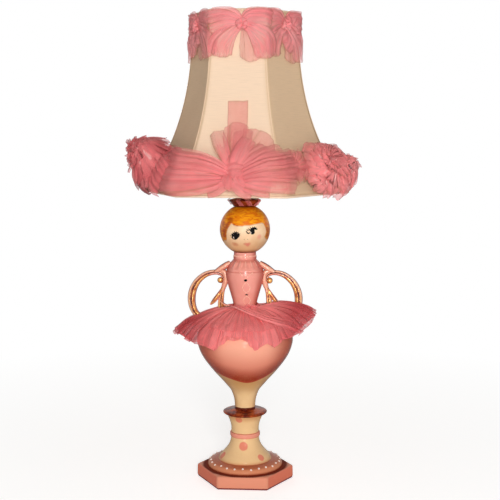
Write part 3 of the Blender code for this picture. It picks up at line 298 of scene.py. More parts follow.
def hip_glaze():
    """Salmon hips with painted light and shade, that end in a dark line over a cream leg, with a lustre ring
    by the collar.
    """
    recipe = Recipe("hip_glaze")
    along_x, along_y, height = recipe.axes()
    turn = math.radians(5)
    radius = (along_x * along_x + along_y * along_y) ** 0.5
    side = (along_x * math.cos(turn) + along_y * math.sin(turn)) / radius
    lean = side - 0.08
    above = height - 0.1402 - lean * lean * (0.0184 + 0.0063 * lean) + 0.0012 * (recipe.mottle(70, 2) - 0.5)
    # Lighter towards the top of the hips and darker low down: painted light and shade.
    body = recipe.blend(above.between(0.012, 0.058), colour(228, 132, 108), colour(248, 174, 148))
    # Painted shade: darker and redder towards the sides, seen from the front.
    body = recipe.blend(abs(side).between(0.42, 0.98) * 0.85, body, colour(172, 60, 34))
    body = recipe.blend(above.between(0.028, 0.004) * 0.9, body, colour(150, 42, 18))
    body = recipe.blend(above.between(0.004, 0.0005) * 0.35, body, colour(214, 92, 70))
    leg = recipe.blend(height.between(0.116, 0.140) * 0.75, CREAM, colour(196, 140, 80))
    # Painted shade on the sides of the leg.
    leg = recipe.blend(abs(side).between(0.6, 1.0) * 0.5, leg, colour(176, 110, 60))
    leg = recipe.blend(recipe.mottle(55, 3).between(0.45, 0.75) * 0.25, leg, TAN)
    paint = recipe.blend(above.between(-0.0004, 0.0004), leg, body)
    ring = (height + 0.0006 * recipe.mottle(160, 2)).between(BOWL_LOW + 0.0042, BOWL_LOW + 0.0036)
    return hand_glaze(recipe, recipe.blend(ring, paint, OXBLOOD))


def bodice_glaze():
    """Salmon bodice: pale slip on its flutes and neck, and painted shade in rose on its sides and in its
    hollows.
    """
    recipe = Recipe("bodice_glaze")
    along_x, along_y, _ = recipe.axes()
    side = abs(along_x) / (along_x * along_x + along_y * along_y) ** 0.5
    clouds = recipe.mottle(45, 3).between(0.4, 0.7) * 0.5
    paint = recipe.blend(clouds, colour(238, 156, 142), colour(250, 174, 162))
    # Painted shade: darker rose towards the sides, seen from the front.
    paint = recipe.blend(side.between(0.55, 0.98) * 0.85, paint, colour(198, 86, 74))
    # Painted shade in the hollows under the yoke, at the foot of the neck and at the waist.
    paint = recipe.blend(recipe.mark("hollow") * 0.75, paint, colour(190, 84, 66))
    slip = recipe.mark("slip") - 0.25 * recipe.mottle(500, 2)
    paint = recipe.blend(slip.between(0.35, 0.75) * 0.6, paint, colour(250, 192, 170))
    return hand_glaze(recipe, paint)


def head_glaze():
    """Cream face, soft cheeks and mouth, and brushed ginger hair that ends at a fringe, with painted shade
    under the chin and on the hair at its sides.
    """
    recipe = Recipe("head_glaze")
    place = recipe.place()
    height = recipe.axes(place)[2]
    face = recipe.blend(recipe.mottle(90, 3).between(0.35, 0.7), colour(252, 220, 182), colour(246, 206, 164))
    # Painted shade: the face darkens towards the chin and is dark brown under it.
    face = recipe.blend(height.between(0.345, 0.320) * 0.75, face, colour(218, 160, 106))
    face = recipe.blend(height.between(0.3195, HEAD_LOW), face, colour(140, 62, 18))
    for angles, size, shade, strength in BLUSHES:
        away = distance_to(recipe, on_head(*angles)) + 0.0016 * (recipe.mottle(300, 1) - 0.5)
        face = recipe.blend(away.between(size, size * 0.25) * strength, face, shade)
    strands = recipe.mottle(1.0, 4, recipe.stretched((110, 110, 330)), 0.6, 0.8)
    locks = recipe.mottle(1.0, 2, recipe.stretched((40, 40, 95)), 0.5, 1.2)
    hair = recipe.blend(strands.between(0.38, 0.60), colour(228, 112, 6), colour(252, 168, 22))
    hair = recipe.blend(locks.between(0.50, 0.66) * 0.6, hair, colour(236, 122, 6))
    # Painted shade on the hair at the sides of the head, low down.
    hair = recipe.blend(recipe.mark("rim") * 0.6, hair, colour(176, 84, 14))
    # Painted shade on the hair near the edges of the face.
    for angles, size, strength in HAIR_SHADOWS:
        away = distance_to(recipe, on_head(*angles)) + 0.004 * (strands - 0.5)
        hair = recipe.blend(away.between(size, size * 0.3) * strength, hair, colour(150, 40, 4))
    edge = recipe.mark("hair") + 0.0007 * (recipe.mottle(420, 2) - 0.5)
    mask = edge.between(-0.00018, 0.00018)
    paint = recipe.blend(mask, face, hair)
    outline = abs(edge + 0.0005).between(0.0007, 0.0001)
    paint = recipe.blend(outline * 0.5, paint, colour(176, 84, 16))
    recipe.set(
        {
            "base_color": paint,
            "roughness": 0.30 + 0.12 * recipe.mottle(45, 2),
            "specular_ior_level": 0.30,
            "normal": recipe.relief(mask * (0.55 + 0.6 * strands + 0.5 * locks), 0.0007, 0.55),
        }
    )
    return recipe.material


def copper_lustre():
    """Overfired lustre: dark oxblood with thin coppery patches."""
    recipe = Recipe("copper_lustre")
    patches = recipe.mottle(60, 4, rough=0.6)
    paint = recipe.blend(patches.between(0.44, 0.66), OXBLOOD, colour(186, 84, 38))
    recipe.set(
        {
            "base_color": paint,
            "metallic": 0.12 * patches,
            "roughness": 0.16 + 0.14 * recipe.mottle(130, 2),
            "specular_ior_level": 0.08,
            "normal": recipe.relief(patches, 0.0005, 0.4),
        }
    )
    return recipe.material


def gold_over_pink():
    """Scrollwork: pink glaze, cream ridges with a painted highlight, brushed gold on its crests and brown
    lustre in its grooves, with painted shade in brown at its edges.
    """
    recipe = Recipe("gold_over_pink")
    patchy = recipe.mottle(170, 3)
    paint = recipe.blend(recipe.mottle(80, 2).between(0.4, 0.7), colour(226, 138, 118), colour(242, 168, 146))
    # Cream ridges: cream glaze lightened as a painted highlight.
    paint = recipe.blend(recipe.mark("cream") * 0.85, paint, colour(255, 214, 172))
    gold = (recipe.mark("gold") + 0.35 * (patchy - 0.5)).between(0.30, 0.55)
    gilding = recipe.blend(patchy.between(0.36, 0.62), colour(196, 104, 44), colour(250, 190, 112))
    paint = recipe.blend(gold, paint, gilding)
    # Brown lustre in the grooves and joins, and painted shade at the edges of the strands.
    brown = (recipe.mark("brown") + 0.30 * (patchy - 0.5)).between(0.25, 0.60)
    lustre_brown = recipe.blend(patchy.between(0.40, 0.65), colour(84, 22, 8), colour(146, 62, 22))
    paint = recipe.blend(brown, paint, lustre_brown)
    recipe.set(
        {
            "base_color": paint,
            "metallic": gold * 0.35,
            "roughness": 0.18 + 0.12 * recipe.mottle(140, 2),
            "specular_ior_level": 0.4,
            "coat_weight": 0.2,
            "coat_roughness": 0.06,
            "normal": recipe.relief(recipe.mottle(260, 3), 0.0005, 0.35),
        }
    )
    return recipe.material


def white_slip():
    recipe = Recipe("white_slip")
    shade = recipe.blend(recipe.mottle(700, 2), WHITE_SLIP, colour(246, 214, 204))
    return hand_glaze(recipe, shade)


def blush_slip():
    recipe = Recipe("blush_slip")
    clouds = recipe.mottle(500, 2).between(0.35, 0.65)
    return hand_glaze(recipe, recipe.blend(clouds, colour(255, 208, 184), colour(244, 176, 154)))


def black_enamel():
    recipe = Recipe("black_enamel")
    shade = recipe.blend(recipe.mottle(900, 2).between(0.4, 0.7), colour(5, 5, 7), colour(22, 18, 20))
    rough = 0.30 + 0.1 * recipe.mottle(500, 1)
    recipe.set({"base_color": shade, "roughness": rough, "specular_ior_level": 0.12})
    return recipe.material


def net(name, thin, deep, folded_and_shaded, shaded_flanks=None, patchy=0.0):
    """Nylon tulle: a fine net whose threads cover more where it is gathered, creased and doubled over.

    Its fold colour is painted shade in the hollows of pleats and creases, and the deeper pink of rolled hems.
    The colour for a piece's far sides is painted shade, and a patchy net has thinner places and rolled hems
    in a brownish painted shade.
    """
    recipe = Recipe(name)
    flat = recipe.cloth()
    across, along, _ = recipe.axes(flat)
    one = abs(((across + along) / NET_PITCH) % 1 - 0.5)
    other = abs(((across - along) / NET_PITCH) % 1 - 0.5)
    threads = one.at_least(other).between(0.30, 0.40)
    creases = recipe.mottle(1.0, 3, recipe.stretched((330, 34, 1), flat), 0.6, 0.9)
    fold = recipe.mark("fold")
    fullness = recipe.mark("full")
    shade = 0.55 * creases.between(0.36, 0.64) + 0.45 * recipe.mottle(35, 2).between(0.35, 0.65)
    paint = recipe.blend(shade, thin, deep)
    # Painted shade: the far sides of a piece darker, seen from the front.
    if shaded_flanks:
        paint = recipe.blend(abs(recipe.axes()[0]).between(0.030, 0.075), paint, shaded_flanks)
    # Fold colour: painted shade in pleat hollows and creases, and the deeper pink of rolled hems.
    paint = recipe.blend(fold * 0.6, paint, folded_and_shaded)
    # Painted highlight: a pale streak on the fullest, tightly rolled net.
    paint = recipe.blend(fullness.between(0.95, 0.995) * 0.60, paint, colour(255, 204, 198))
    # Painted shade: brownish where thin net is rolled at its hems.
    if patchy:
        rolled_hem_shade = fold.between(0.12, 0.32) * fullness.between(0.62, 0.30)
        paint = recipe.blend(rolled_hem_shade * 0.6, paint, colour(176, 122, 84))
    cover = threads * 0.34 + 0.15
    gathered = fullness * (0.62 + 0.5 * creases.between(0.34, 0.62))
    if patchy:
        gathered = gathered * (1 - patchy * recipe.mottle(30, 2).between(0.42, 0.62))
    cover = 1 - (1 - cover) * (1 - gathered.at_most(1)) * (1 - 0.45 * fold)
    recipe.set(
        {
            "base_color": paint,
            "alpha": cover.at_most(1),
            "roughness": 0.62 + 0.2 * recipe.mottle(300, 1),
            "normal": recipe.relief(threads * 0.25 + creases, 0.0010, 0.45),
        }
    )
    return recipe.material


def slubbed_satin(name="slubbed_satin", tone=(238, 210, 182)):
    """Cream shade satin: fine weave, a few slubs along the weft, and painted shade towards the seams and
    edges.
    """
    recipe = Recipe(name)
    flat = recipe.cloth()
    across, along, _ = recipe.axes(flat)
    warp = (across * (math.tau / 0.0009)).wave()
    weft = (along * (math.tau / 0.0009)).wave()
    slub = recipe.mottle(1.0, 3, recipe.stretched((50, 1100, 1), flat), 0.6)
    light, dark = colour(*tone), colour(*(c * 0.975 for c in tone))
    paint = recipe.blend(slub.between(0.44, 0.66), light, dark)
    paint = recipe.blend(recipe.mottle(14, 2).between(0.4, 0.7) * 0.18, paint, colour(244, 214, 180))
    # Painted shade along the seams and the top and bottom edges.
    paint = recipe.blend(recipe.mark("seam") * 0.5, paint, colour(206, 170, 124))
    recipe.set(
        {
            "base_color": paint,
            "roughness": 0.56 + 0.14 * slub,
            "specular_ior_level": 0.25,
            "normal": recipe.relief(warp * 0.4 + weft * 0.6 + slub * 1.2, 0.00008, 0.35),
        }
    )
    return recipe.material


# Shapes.


def curve_through(points, steps):
    """Points on a smooth curve through all the given ones, with so many spans between neighbours."""
    knots = [Vector(p) for p in points]
    knots = [knots[0] * 2 - knots[1], *knots, knots[-1] * 2 - knots[-2]]
    curve = []
    for before, start, end, after in zip(knots, knots[1:], knots[2:], knots[3:]):
        for step in range(steps):
            t = step / steps
            pull = 2 * before - 5 * start + 4 * end - after
            twist = 3 * start - before - 3 * end + after
            curve.append((2 * start + (end - before) * t + pull * t**2 + twist * t**3) / 2)
    return [*curve, knots[-2]]


def radius_on(outline, height):
    """The radius of a rising outline at a height."""
    return float(np.interp(height, [z for _, z in outline], [r for r, _ in outline]))


def settle(name, mesh, body, finishes, replaced=()):
    """Makes a mesh a piece of the lamp, which rides on a body and stands for the CAD nodes it replaces."""
    piece = bpy.data.objects.new(name, mesh)
    bpy.context.scene.collection.objects.link(piece)
    mesh.materials.clear()
    for finish in finishes:
        mesh.materials.append(finish)
    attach(piece, body)
    if replaced:
        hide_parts(*replaced)
    return piece


def close_mesh(name, shape, sharp=40):
    """Turns a bmesh into a mesh with its faces outward, smooth but for its real edges."""
    bmesh.ops.remove_doubles(shape, verts=shape.verts, dist=0.000001)
    bmesh.ops.recalc_face_normals(shape, faces=shape.faces)
    mesh = bpy.data.meshes.new(name)
    shape.to_mesh(mesh)
    shape.free()
    mesh.shade_smooth()
    mesh.set_sharp_from_angle(angle=math.radians(sharp))
    return mesh


def turned(name, outline, segments=96, sharp=40, warp=None):
    """A piece turned about Z from a closed outline of (radius, height); warp moves each point afterwards."""
    shape = bmesh.new()
    corners = [shape.verts.new((radius, 0, height)) for radius, height in outline]
    for start, end in zip(corners, corners[1:] + corners[:1]):
        if start.co.x > 0.000001 or end.co.x > 0.000001:
            shape.edges.new((start, end))
    around = shape.verts[:] + shape.edges[:]
    bmesh.ops.spin(shape, geom=around, axis=UP, angle=TURN, steps=segments, use_merge=True)
    if warp:
        for vert in shape.verts:
            vert.co = warp(vert.co)
    return close_mesh(name, shape, sharp)


def mark_points(mesh, name, value_at):
    """Keeps a value on each point of a mesh, for its material."""
    mark = mesh.attributes.new(name, "FLOAT", "POINT")
    mark.data.foreach_set("value", [float(value_at(vert.co)) for vert in mesh.vertices])


def rounded(outline, steps=4):
    """An open outline of (radius, height) made smooth, but for a sharp corner at a point given twice."""
    runs, run = [], [outline[0]]
    for point in outline[1:]:
        if point == run[-1]:
            runs.append(run)
            run = [point]
        else:
            run.append(point)
    runs.append(run)
    smooth = []
    for run in runs:
        if len(run) > 2:
            smooth += [(max(p.x, 0), p.z) for p in curve_through([(r, 0, z) for r, z in run], steps)]
        else:
            smooth += run
    return smooth


def shell_of(outer, wall, bore):
    """The closed outline of a slip-cast shell round the lamp pipe."""
    low, high = outer[0][1], outer[-1][1]
    inner = [(r - wall, z) for r, z in outer if low + wall < z < high - wall and r - wall > bore + 0.0003]
    return [(bore, low), *outer, (bore, high), (bore, high - wall), *reversed(inner[::4]), (bore, low + wall)]


# Levels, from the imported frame.

PIPE_BORE = 0.0054
WALL = 0.0045


def span(node):
    low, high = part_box(node)
    return low[2], high[2]


PLINTH_LOW, PEDESTAL_TOP = span("pedestal")
BOWL_LOW, BOWL_TOP = span("urn_bowl")
BODICE_LOW, NECK_TOP = span("bodice")
HEAD_LOW, HEAD_TOP = span("head")
PLINTH_TOP = PLINTH_LOW + 0.0160
FLARE_FOOT = PLINTH_TOP + 0.0092
BAND_LOW = FLARE_FOOT + 0.0316
BAND_TOP = BAND_LOW + 0.0062
YOKE_LOW = BODICE_LOW + 0.0542
YOKE_TOP = YOKE_LOW + 0.0141
HEAD_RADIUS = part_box("head")[1][0]
NECK_SEAT = 0.0147
CROWN_SEAT = 0.0150
HEAD_CENTRE = HEAD_LOW + math.sqrt(HEAD_RADIUS**2 - NECK_SEAT**2)


def stack(shape, radii, heights):
    """Turns shares of (height, radius) into an outline between two radii and two heights."""
    return [(mix(*radii, share), mix(*heights, up)) for up, share in shape]


RING = [
    (0.0508, PLINTH_TOP), (0.0513, PLINTH_TOP + 0.0022), (0.0505, PLINTH_TOP + 0.0048),
    (0.0482, PLINTH_TOP + 0.0070), (0.0440, PLINTH_TOP + 0.0083), (0.0395, FLARE_FOOT),
]
FLARE = stack(
    ((0, 0), (0.07, 0.08), (0.15, 0.15), (0.36, 0.49), (0.53, 0.73), (0.75, 0.92), (1, 1)),
    (0.0368, 0.0189), (FLARE_FOOT, BAND_LOW),
)
BAND = [
    (0.0202, BAND_LOW + 0.0004), (0.0206, BAND_LOW + 0.0014),
    (0.0206, BAND_TOP - 0.0014), (0.0202, BAND_TOP - 0.0004),
]
CUP = stack(
    ((0, 0), (0.16, 0.0), (0.32, 0.04), (0.58, 0.31), (0.80, 0.70), (0.95, 0.95), (1, 1)),
    (0.0189, 0.0243), (BAND_TOP, PEDESTAL_TOP),
)
PEDESTAL = [*rounded(RING), *rounded(FLARE), *BAND, *rounded(CUP)]
LEG = stack(
    (
        (0, 0), (0.068, 0.008), (0.125, 0.035), (0.196, 0.109), (0.256, 0.237), (0.317, 0.375), (0.38, 0.528),
        (0.450, 0.678), (0.519, 0.812), (0.587, 0.912), (0.654, 0.975), (0.714, 1.0),
    ),
    (0.0139, 0.0653), (BOWL_LOW, BOWL_TOP),
)
HIPS = stack(
    ((0.714, 0), (0.782, 0.03), (0.85, 0.14), (0.91, 0.335), (0.955, 0.58), (0.985, 0.84), (1, 1)),
    (0.0653, 0.0170), (BOWL_LOW, BOWL_TOP),
)
BOWL = rounded([*LEG[:-1], *HIPS])
TORSO = rounded(stack(
    ((0, -0.10), (0.075, 0), (0.205, 0.07), (0.34, 0.24), (0.74, 0.82), (0.91, 1.0), (1, 0.97)),
    (0.0156, 0.0264), (BODICE_LOW, YOKE_LOW),
))
YOKE = rounded([(0.0250, YOKE_LOW + 0.0004), (0.0239, YOKE_LOW + 0.0042), (0.0172, YOKE_TOP)])
NECK = [
    (0.0154, YOKE_TOP + 0.0020), (0.0157, YOKE_TOP + 0.0041), (0.0157, YOKE_TOP + 0.0059),
    (0.0151, YOKE_TOP + 0.0071), (0.0149, NECK_TOP),
]
BODICE = [*TORSO, *YOKE, *NECK]
SPOTS = (
    # angle from the front, height, radius
    (-17.8, 0.0862, 0.0056), (-2.6, 0.0487, 0.0068), (46.3, 0.0339, 0.0056), (-66.9, 0.0335, 0.0062),
    (100, 0.0790, 0.0044), (108, 0.0480, 0.0052), (-104, 0.0500, 0.0056), (128, 0.0340, 0.0054),
    (158, 0.0505, 0.0060), (-148, 0.0350, 0.0054), (176, 0.0800, 0.0048), (-112, 0.0780, 0.0044),
)
BLUSHES = (
    # angles from the front and up, radius, colour, strength
    ((-27.0, -31.0), 0.0044, colour(206, 130, 90), 0.65),
    ((-20.0, -32.0), 0.0044, colour(206, 130, 90), 0.75),
    ((38.9, -12.8), 0.0052, colour(238, 160, 134), 0.75),
    ((5.6, -30.4), 0.0032, colour(222, 126, 102), 0.75),
    ((10.4, -31.6), 0.0036, colour(222, 122, 102), 0.80),
    ((14.8, -29.6), 0.0032, colour(222, 126, 102), 0.75),
    ((11.0, -34.2), 0.0030, colour(224, 126, 104), 0.70),
    ((1.6, -29.6), 0.0022, colour(206, 132, 98), 0.60),
)
# Painted shade on the hair, in soft spots near the edges of the face.
HAIR_SHADOWS = (
    # angles from the front and up, radius, strength
    ((-36, 24), 0.0070, 0.60), ((-42, 11), 0.0065, 0.75), ((-48, 0), 0.0070, 0.80),
    ((-51, -11), 0.0065, 0.80), ((-56, 14), 0.0060, 0.50), ((-24, 15), 0.0022, 0.60),
    ((-14, 13), 0.0020, 0.50), ((66, 2), 0.0060, 0.55), ((66, -10), 0.0050, 0.60),
)
HAIR_EDGE = (
    # angles from the front and up, round the face from the left side of the jaw
    (-100.0, -38.0), (-80.0, -29.0), (-62.0, -23.5), (-50.0, -22.5), (-45.4, -19.0),
    (-44.7, -14.7), (-43.7, -7.2), (-41.4, -0.6), (-37.4, 7.7), (-32.8, 14.6),
    (-29.8, 18.6), (-26.5, 16.5), (-23.4, 14.4), (-15.8, 12.4), (-8.4, 12.9), (-1.9, 12.6), (6.1, 14.2),
    (13.3, 14.1), (20.8, 15.2), (27.9, 16.5), (37.5, 17.7), (48.5, 18.7), (54.2, 15.5), (58.4, 6.7),
    (61.0, -1.6), (59.6, -8.8), (57.2, -13.5), (63.4, -18.4), (76.0, -23.0), (95.0, -33.0), (112.0, -48.0),
    (112.0, -75.0), (0.0, -82.0), (-112.0, -75.0), (-112.0, -48.0),
)


def on_head(angle, rise, lift=0.0):
    """A point on the head: degrees round from the front, and up from its middle."""
    angle, rise = math.radians(angle), math.radians(rise)
    level = HEAD_RADIUS + lift
    flat = level * math.cos(rise)
    return (flat * math.sin(angle), -flat * math.cos(angle), HEAD_CENTRE + level * math.sin(rise))


# Foot, collar, hips and bodice.


def make_foot():
    """Hexagonal plinth with soft edges, the dotted ring and the column, in one casting."""
    shape = bmesh.new()
    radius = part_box("pedestal")[1][0]
    outline = [
        (radius - 0.0015, PLINTH_LOW), (radius - 0.0004, PLINTH_LOW + 0.0004), (radius, PLINTH_LOW + 0.0015),
        (radius - 0.0003, PLINTH_TOP - 0.0030), (radius - 0.0010, PLINTH_TOP - 0.0012),
        (radius - 0.0026, PLINTH_TOP - 0.0002), (radius - 0.0048, PLINTH_TOP),
    ]
    corners = [Vector((math.cos(TURN * k / 6), math.sin(TURN * k / 6), 0)) for k in range(7)]
    rings = []
    for reach, level in outline:
        ring = []
        for start, end in zip(corners, corners[1:]):
            for share in (0.02, 0.05, 0.12, 0.5, 0.88, 0.95, 0.98):
                ring.append(shape.verts.new(start.lerp(end, share) * reach + UP * level))
        rings.append(ring)
    count = len(rings[0])
    for low, high in zip(rings, rings[1:]):
        for k in range(count):
            shape.faces.new((low[k], low[(k + 1) % count], high[(k + 1) % count], high[k]))
    shape.faces.new(list(reversed(rings[0])))
    shape.faces.new(rings[-1])
    plinth = close_mesh("plinth", shape, 50)
    column = [(0, PLINTH_TOP - 0.0010), (0.0508, PLINTH_TOP - 0.0010), *PEDESTAL, (0, PEDESTAL_TOP)]
    both = bmesh.new()
    both.from_mesh(plinth)
    both.from_mesh(turned("column", column, 120))
    casting = close_mesh("foot_casting", both, 50)
    settle("foot_casting", casting, "stand", [foot_glaze()], ["pedestal"])


def make_collar(lustre):
    """The lustre ring between the foot and the hips."""
    low, high = span("collar_ring")
    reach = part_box("collar_ring")[1][0]
    rim = [
        (0.0243, low), (reach - 0.0020, low + 0.0006), (reach - 0.0003, low + 0.0018), (reach, low + 0.0028),
        (reach - 0.0006, low + 0.0036), (reach - 0.0034, low + 0.0046),
        (0.0200, low + 0.0054), (0.0157, high),
    ]
    collar = turned("lustre_collar", [(PIPE_BORE, low), *rounded(rim), (PIPE_BORE, high)], 96)
    settle("lustre_collar", collar, "stand", [lustre], ["collar_ring"])


def make_hips():
    bowl = turned("hips", shell_of(BOWL, WALL, PIPE_BORE), 120)
    settle("hips", bowl, "stand", [hip_glaze()], ["urn_bowl"])


FLUTES = 16


def flute_wave(point):
    """1 on the crest of each flute of the yoke, -1 in the hollows between them."""
    return math.cos(FLUTES * (math.atan2(point.y, point.x) + math.radians(83.5)))


def make_bodice():
    """The bodice with its fluted yoke, which knows where its pale slip is and where shade is painted in its
    hollows.
    """

    def fluted(point):
        radius = math.hypot(point.x, point.y)
        if not YOKE_LOW + 0.0004 < point.z < YOKE_TOP - 0.0004 or radius < 0.0150:
            return point
        share = (point.z - YOKE_LOW) / (YOKE_TOP - YOKE_LOW)
        depth = 0.0009 * math.sin(math.pi * min(1, max(0, share - 0.30) / 0.66)) ** 0.6
        swollen = 1 + depth * flute_wave(point) / radius
        return Vector((point.x * swollen, point.y * swollen, point.z))

    torso = turned("torso", shell_of(BODICE, WALL, PIPE_BORE), 160, warp=fluted)

    def slip_at(point):
        radius = math.hypot(point.x, point.y)
        if YOKE_LOW + 0.0010 < point.z < YOKE_TOP:
            crest = 0.8 * eased((flute_wave(point) - 0.40) / 0.5)
            return crest * eased((point.z - YOKE_LOW - 0.0056) / 0.002)
        if radius > 0.0145 and YOKE_TOP + 0.0050 < point.z < YOKE_TOP + 0.0076:
            return 0.7
        if YOKE_LOW + 0.0004 < point.z < YOKE_LOW + 0.0022 and radius > 0.023:
            return 0.5
        return 0.0

    # Where shade is painted: under the yoke, at the foot of the neck and at the waist.
    def hollow_shade_at(point):
        under_yoke = eased(1 - abs(point.z - (YOKE_LOW - 0.0002)) / 0.0010) * 0.6
        neck_foot = eased(1 - abs(point.z - (YOKE_TOP + 0.0008)) / 0.0022)
        waist = eased(1 - (point.z - BODICE_LOW) / 0.012) * 0.5
        return max(under_yoke, neck_foot, waist)

    mark_points(torso, "slip", slip_at)
    mark_points(torso, "hollow", hollow_shade_at)
    settle("bodice_casting", torso, "stand", [bodice_glaze()], ["bodice"])


def make_head():
    """The hollow head, which knows how far each of its points lies from the edge of the hair."""
    low = math.asin(NECK_SEAT / HEAD_RADIUS)
    high = math.pi - math.asin(CROWN_SEAT / HEAD_RADIUS)
    rows = 150
    angles = [mix(low, high, row / rows) for row in range(rows + 1)]
    outer = [(HEAD_RADIUS * math.sin(a), HEAD_CENTRE - HEAD_RADIUS * math.cos(a)) for a in angles]
    inner = [(r - WALL, z) for r, z in outer if HEAD_LOW + WALL < z < HEAD_TOP - WALL]
    outline = [(PIPE_BORE, HEAD_LOW), *outer, (PIPE_BORE, HEAD_TOP)]
    outline += [(PIPE_BORE, HEAD_TOP - WALL), *reversed(inner[::10]), (PIPE_BORE, HEAD_LOW + WALL)]
    ball = turned("ball", outline, 260)
    middle = Vector(on_head(8, -14)) - UP * HEAD_CENTRE
    middle.normalize()
    east = UP.cross(middle).normalized()
    north = middle.cross(east)

    def unrolled(point):
        """A point of the head laid flat round the middle of the face, in metres."""
        away = point.normalized()
        arc = middle.angle(away, 0.0)
        flat = Vector((away.dot(east), away.dot(north)))
        return flat.normalized() * arc * HEAD_RADIUS if flat.length > 1e-9 else Vector((0, 0))

    edge = [unrolled(Vector(on_head(*angles)) - UP * HEAD_CENTRE) for angles in HAIR_EDGE]
    edge = np.array([tuple(p) for p in edge])
    after = np.roll(edge, -1, axis=0)

    def hair_at(point):
        """How far a point lies inside the hair: less than nothing on the face."""
        spot = np.array(unrolled(point - UP * HEAD_CENTRE))
        run = after - edge
        share = np.clip(((spot - edge) * run).sum(1) / (run**2).sum(1), 0, 1)
        gap = np.sqrt((((edge + run * share[:, None]) - spot) ** 2).sum(1)).min()
        crossed = (edge[:, 1] > spot[1]) != (after[:, 1] > spot[1])
        with np.errstate(divide="ignore", invalid="ignore"):
            cut = edge[:, 0] + (spot[1] - edge[:, 1]) * run[:, 0] / run[:, 1]
        inside = int((crossed & (spot[0] < cut)).sum()) % 2
        return -gap if inside else gap

    mark_points(ball, "hair", hair_at)
    # The rim mark: where shade is painted on the hair at the sides of the head.
    mark_points(ball, "rim", lambda p: eased((abs(p.x) - 0.024) / 0.010) * eased((0.366 - p.z) / 0.03))
    settle("head_casting", ball, "stand", [head_glaze()], ["head"])


# Repeated and path-following trim, made with Geometry Nodes.


def start_tree(name, sizes):
    tree = bpy.data.node_groups.new(name, "GeometryNodeTree")
    tree.interface.new_socket("Base", in_out="INPUT", socket_type="NodeSocketGeometry")
    for label, kind in sizes.items():
        tree.interface.new_socket(label, in_out="INPUT", socket_type=kind)
    tree.interface.new_socket("Trim", in_out="OUTPUT", socket_type="NodeSocketGeometry")
    return tree, tree.nodes.new("NodeGroupInput")


def finish_tree(tree, given, last):
    """Ends a tree: real geometry in one finish."""
    realize = tree.nodes.new("GeometryNodeRealizeInstances")
    paint = tree.nodes.new("GeometryNodeSetMaterial")
    end = tree.nodes.new("NodeGroupOutput")
    tree.links.new(last, realize.inputs["Geometry"])
    tree.links.new(realize.outputs["Geometry"], paint.inputs["Geometry"])
    tree.links.new(given.outputs["Finish"], paint.inputs["Material"])
    tree.links.new(paint.outputs["Geometry"], end.inputs["Trim"])
    return tree


def piping_tree():
    """A round cord laid along the edges of its base."""
    sizes = {"Radius": "NodeSocketFloat", "Sides": "NodeSocketInt", "Finish": "NodeSocketMaterial"}
    tree, given = start_tree("piping", sizes)
    path = tree.nodes.new("GeometryNodeMeshToCurve")
    ring = tree.nodes.new("GeometryNodeCurvePrimitiveCircle")
    skin = tree.nodes.new("GeometryNodeCurveToMesh")
    skin.inputs["Fill Caps"].default_value = True
    smooth = tree.nodes.new("GeometryNodeSetShadeSmooth")
    tree.links.new(given.outputs["Base"], path.inputs["Mesh"])
    tree.links.new(given.outputs["Radius"], ring.inputs["Radius"])
    tree.links.new(given.outputs["Sides"], ring.inputs["Resolution"])
    tree.links.new(path.outputs["Curve"], skin.inputs["Curve"])
    tree.links.new(ring.outputs["Curve"], skin.inputs["Profile Curve"])
    tree.links.new(skin.outputs["Mesh"], smooth.inputs["Geometry"])
    return finish_tree(tree, given, smooth.outputs["Geometry"])


def beading_tree():
    """A small bead on each point of its base."""
    sizes = {"Radius": "NodeSocketFloat", "Finish": "NodeSocketMaterial"}
    tree, given = start_tree("beading", sizes)
    bead = tree.nodes.new("GeometryNodeMeshIcoSphere")
    bead.inputs["Subdivisions"].default_value = 3
    smooth = tree.nodes.new("GeometryNodeSetShadeSmooth")
    spread = tree.nodes.new("GeometryNodeInstanceOnPoints")
    tree.links.new(given.outputs["Radius"], bead.inputs["Radius"])
    tree.links.new(bead.outputs["Mesh"], smooth.inputs["Geometry"])
    tree.links.new(given.outputs["Base"], spread.inputs["Points"])
    tree.links.new(smooth.outputs["Geometry"], spread.inputs["Instance"])
    return finish_tree(tree, given, spread.outputs["Instances"])


def grown(name, tree, paths, values, closed=False):
    """Runs a tree on a base of points joined into paths, and keeps the plain mesh that it makes."""
    base = bpy.data.meshes.new(name)
    points, edges = [], []
    for path in paths:
        first = len(points)
        points += [tuple(p) for p in path]
        edges += [(first + k, first + k + 1) for k in range(len(path) - 1)]
        if closed:
            edges.append((len(points) - 1, first))
    base.from_pydata(points, edges, [])
    holder = bpy.data.objects.new(name, base)
    bpy.context.scene.collection.objects.link(holder)
    modifier = holder.modifiers.new("Trim", "NODES")
    modifier.node_group = tree
    for item in tree.interface.items_tree:
        if item.in_out == "INPUT" and item.name in values:
            modifier[item.identifier] = values[item.name]
    graph = bpy.context.evaluated_depsgraph_get()
    mesh = bpy.data.meshes.new_from_object(holder.evaluated_get(graph))
    mesh.name = name
    bpy.data.objects.remove(holder)
    return mesh


PIPING, BEADING = piping_tree(), beading_tree()


# Painted and trailed decoration.


def on_bodice(angle, height, lift=0.0):
    """A point on the bodice: degrees round from the front, and its height."""
    angle = math.radians(angle)
    level = radius_on(BODICE, height) + lift
    return (level * math.sin(angle), -level * math.cos(angle), height)


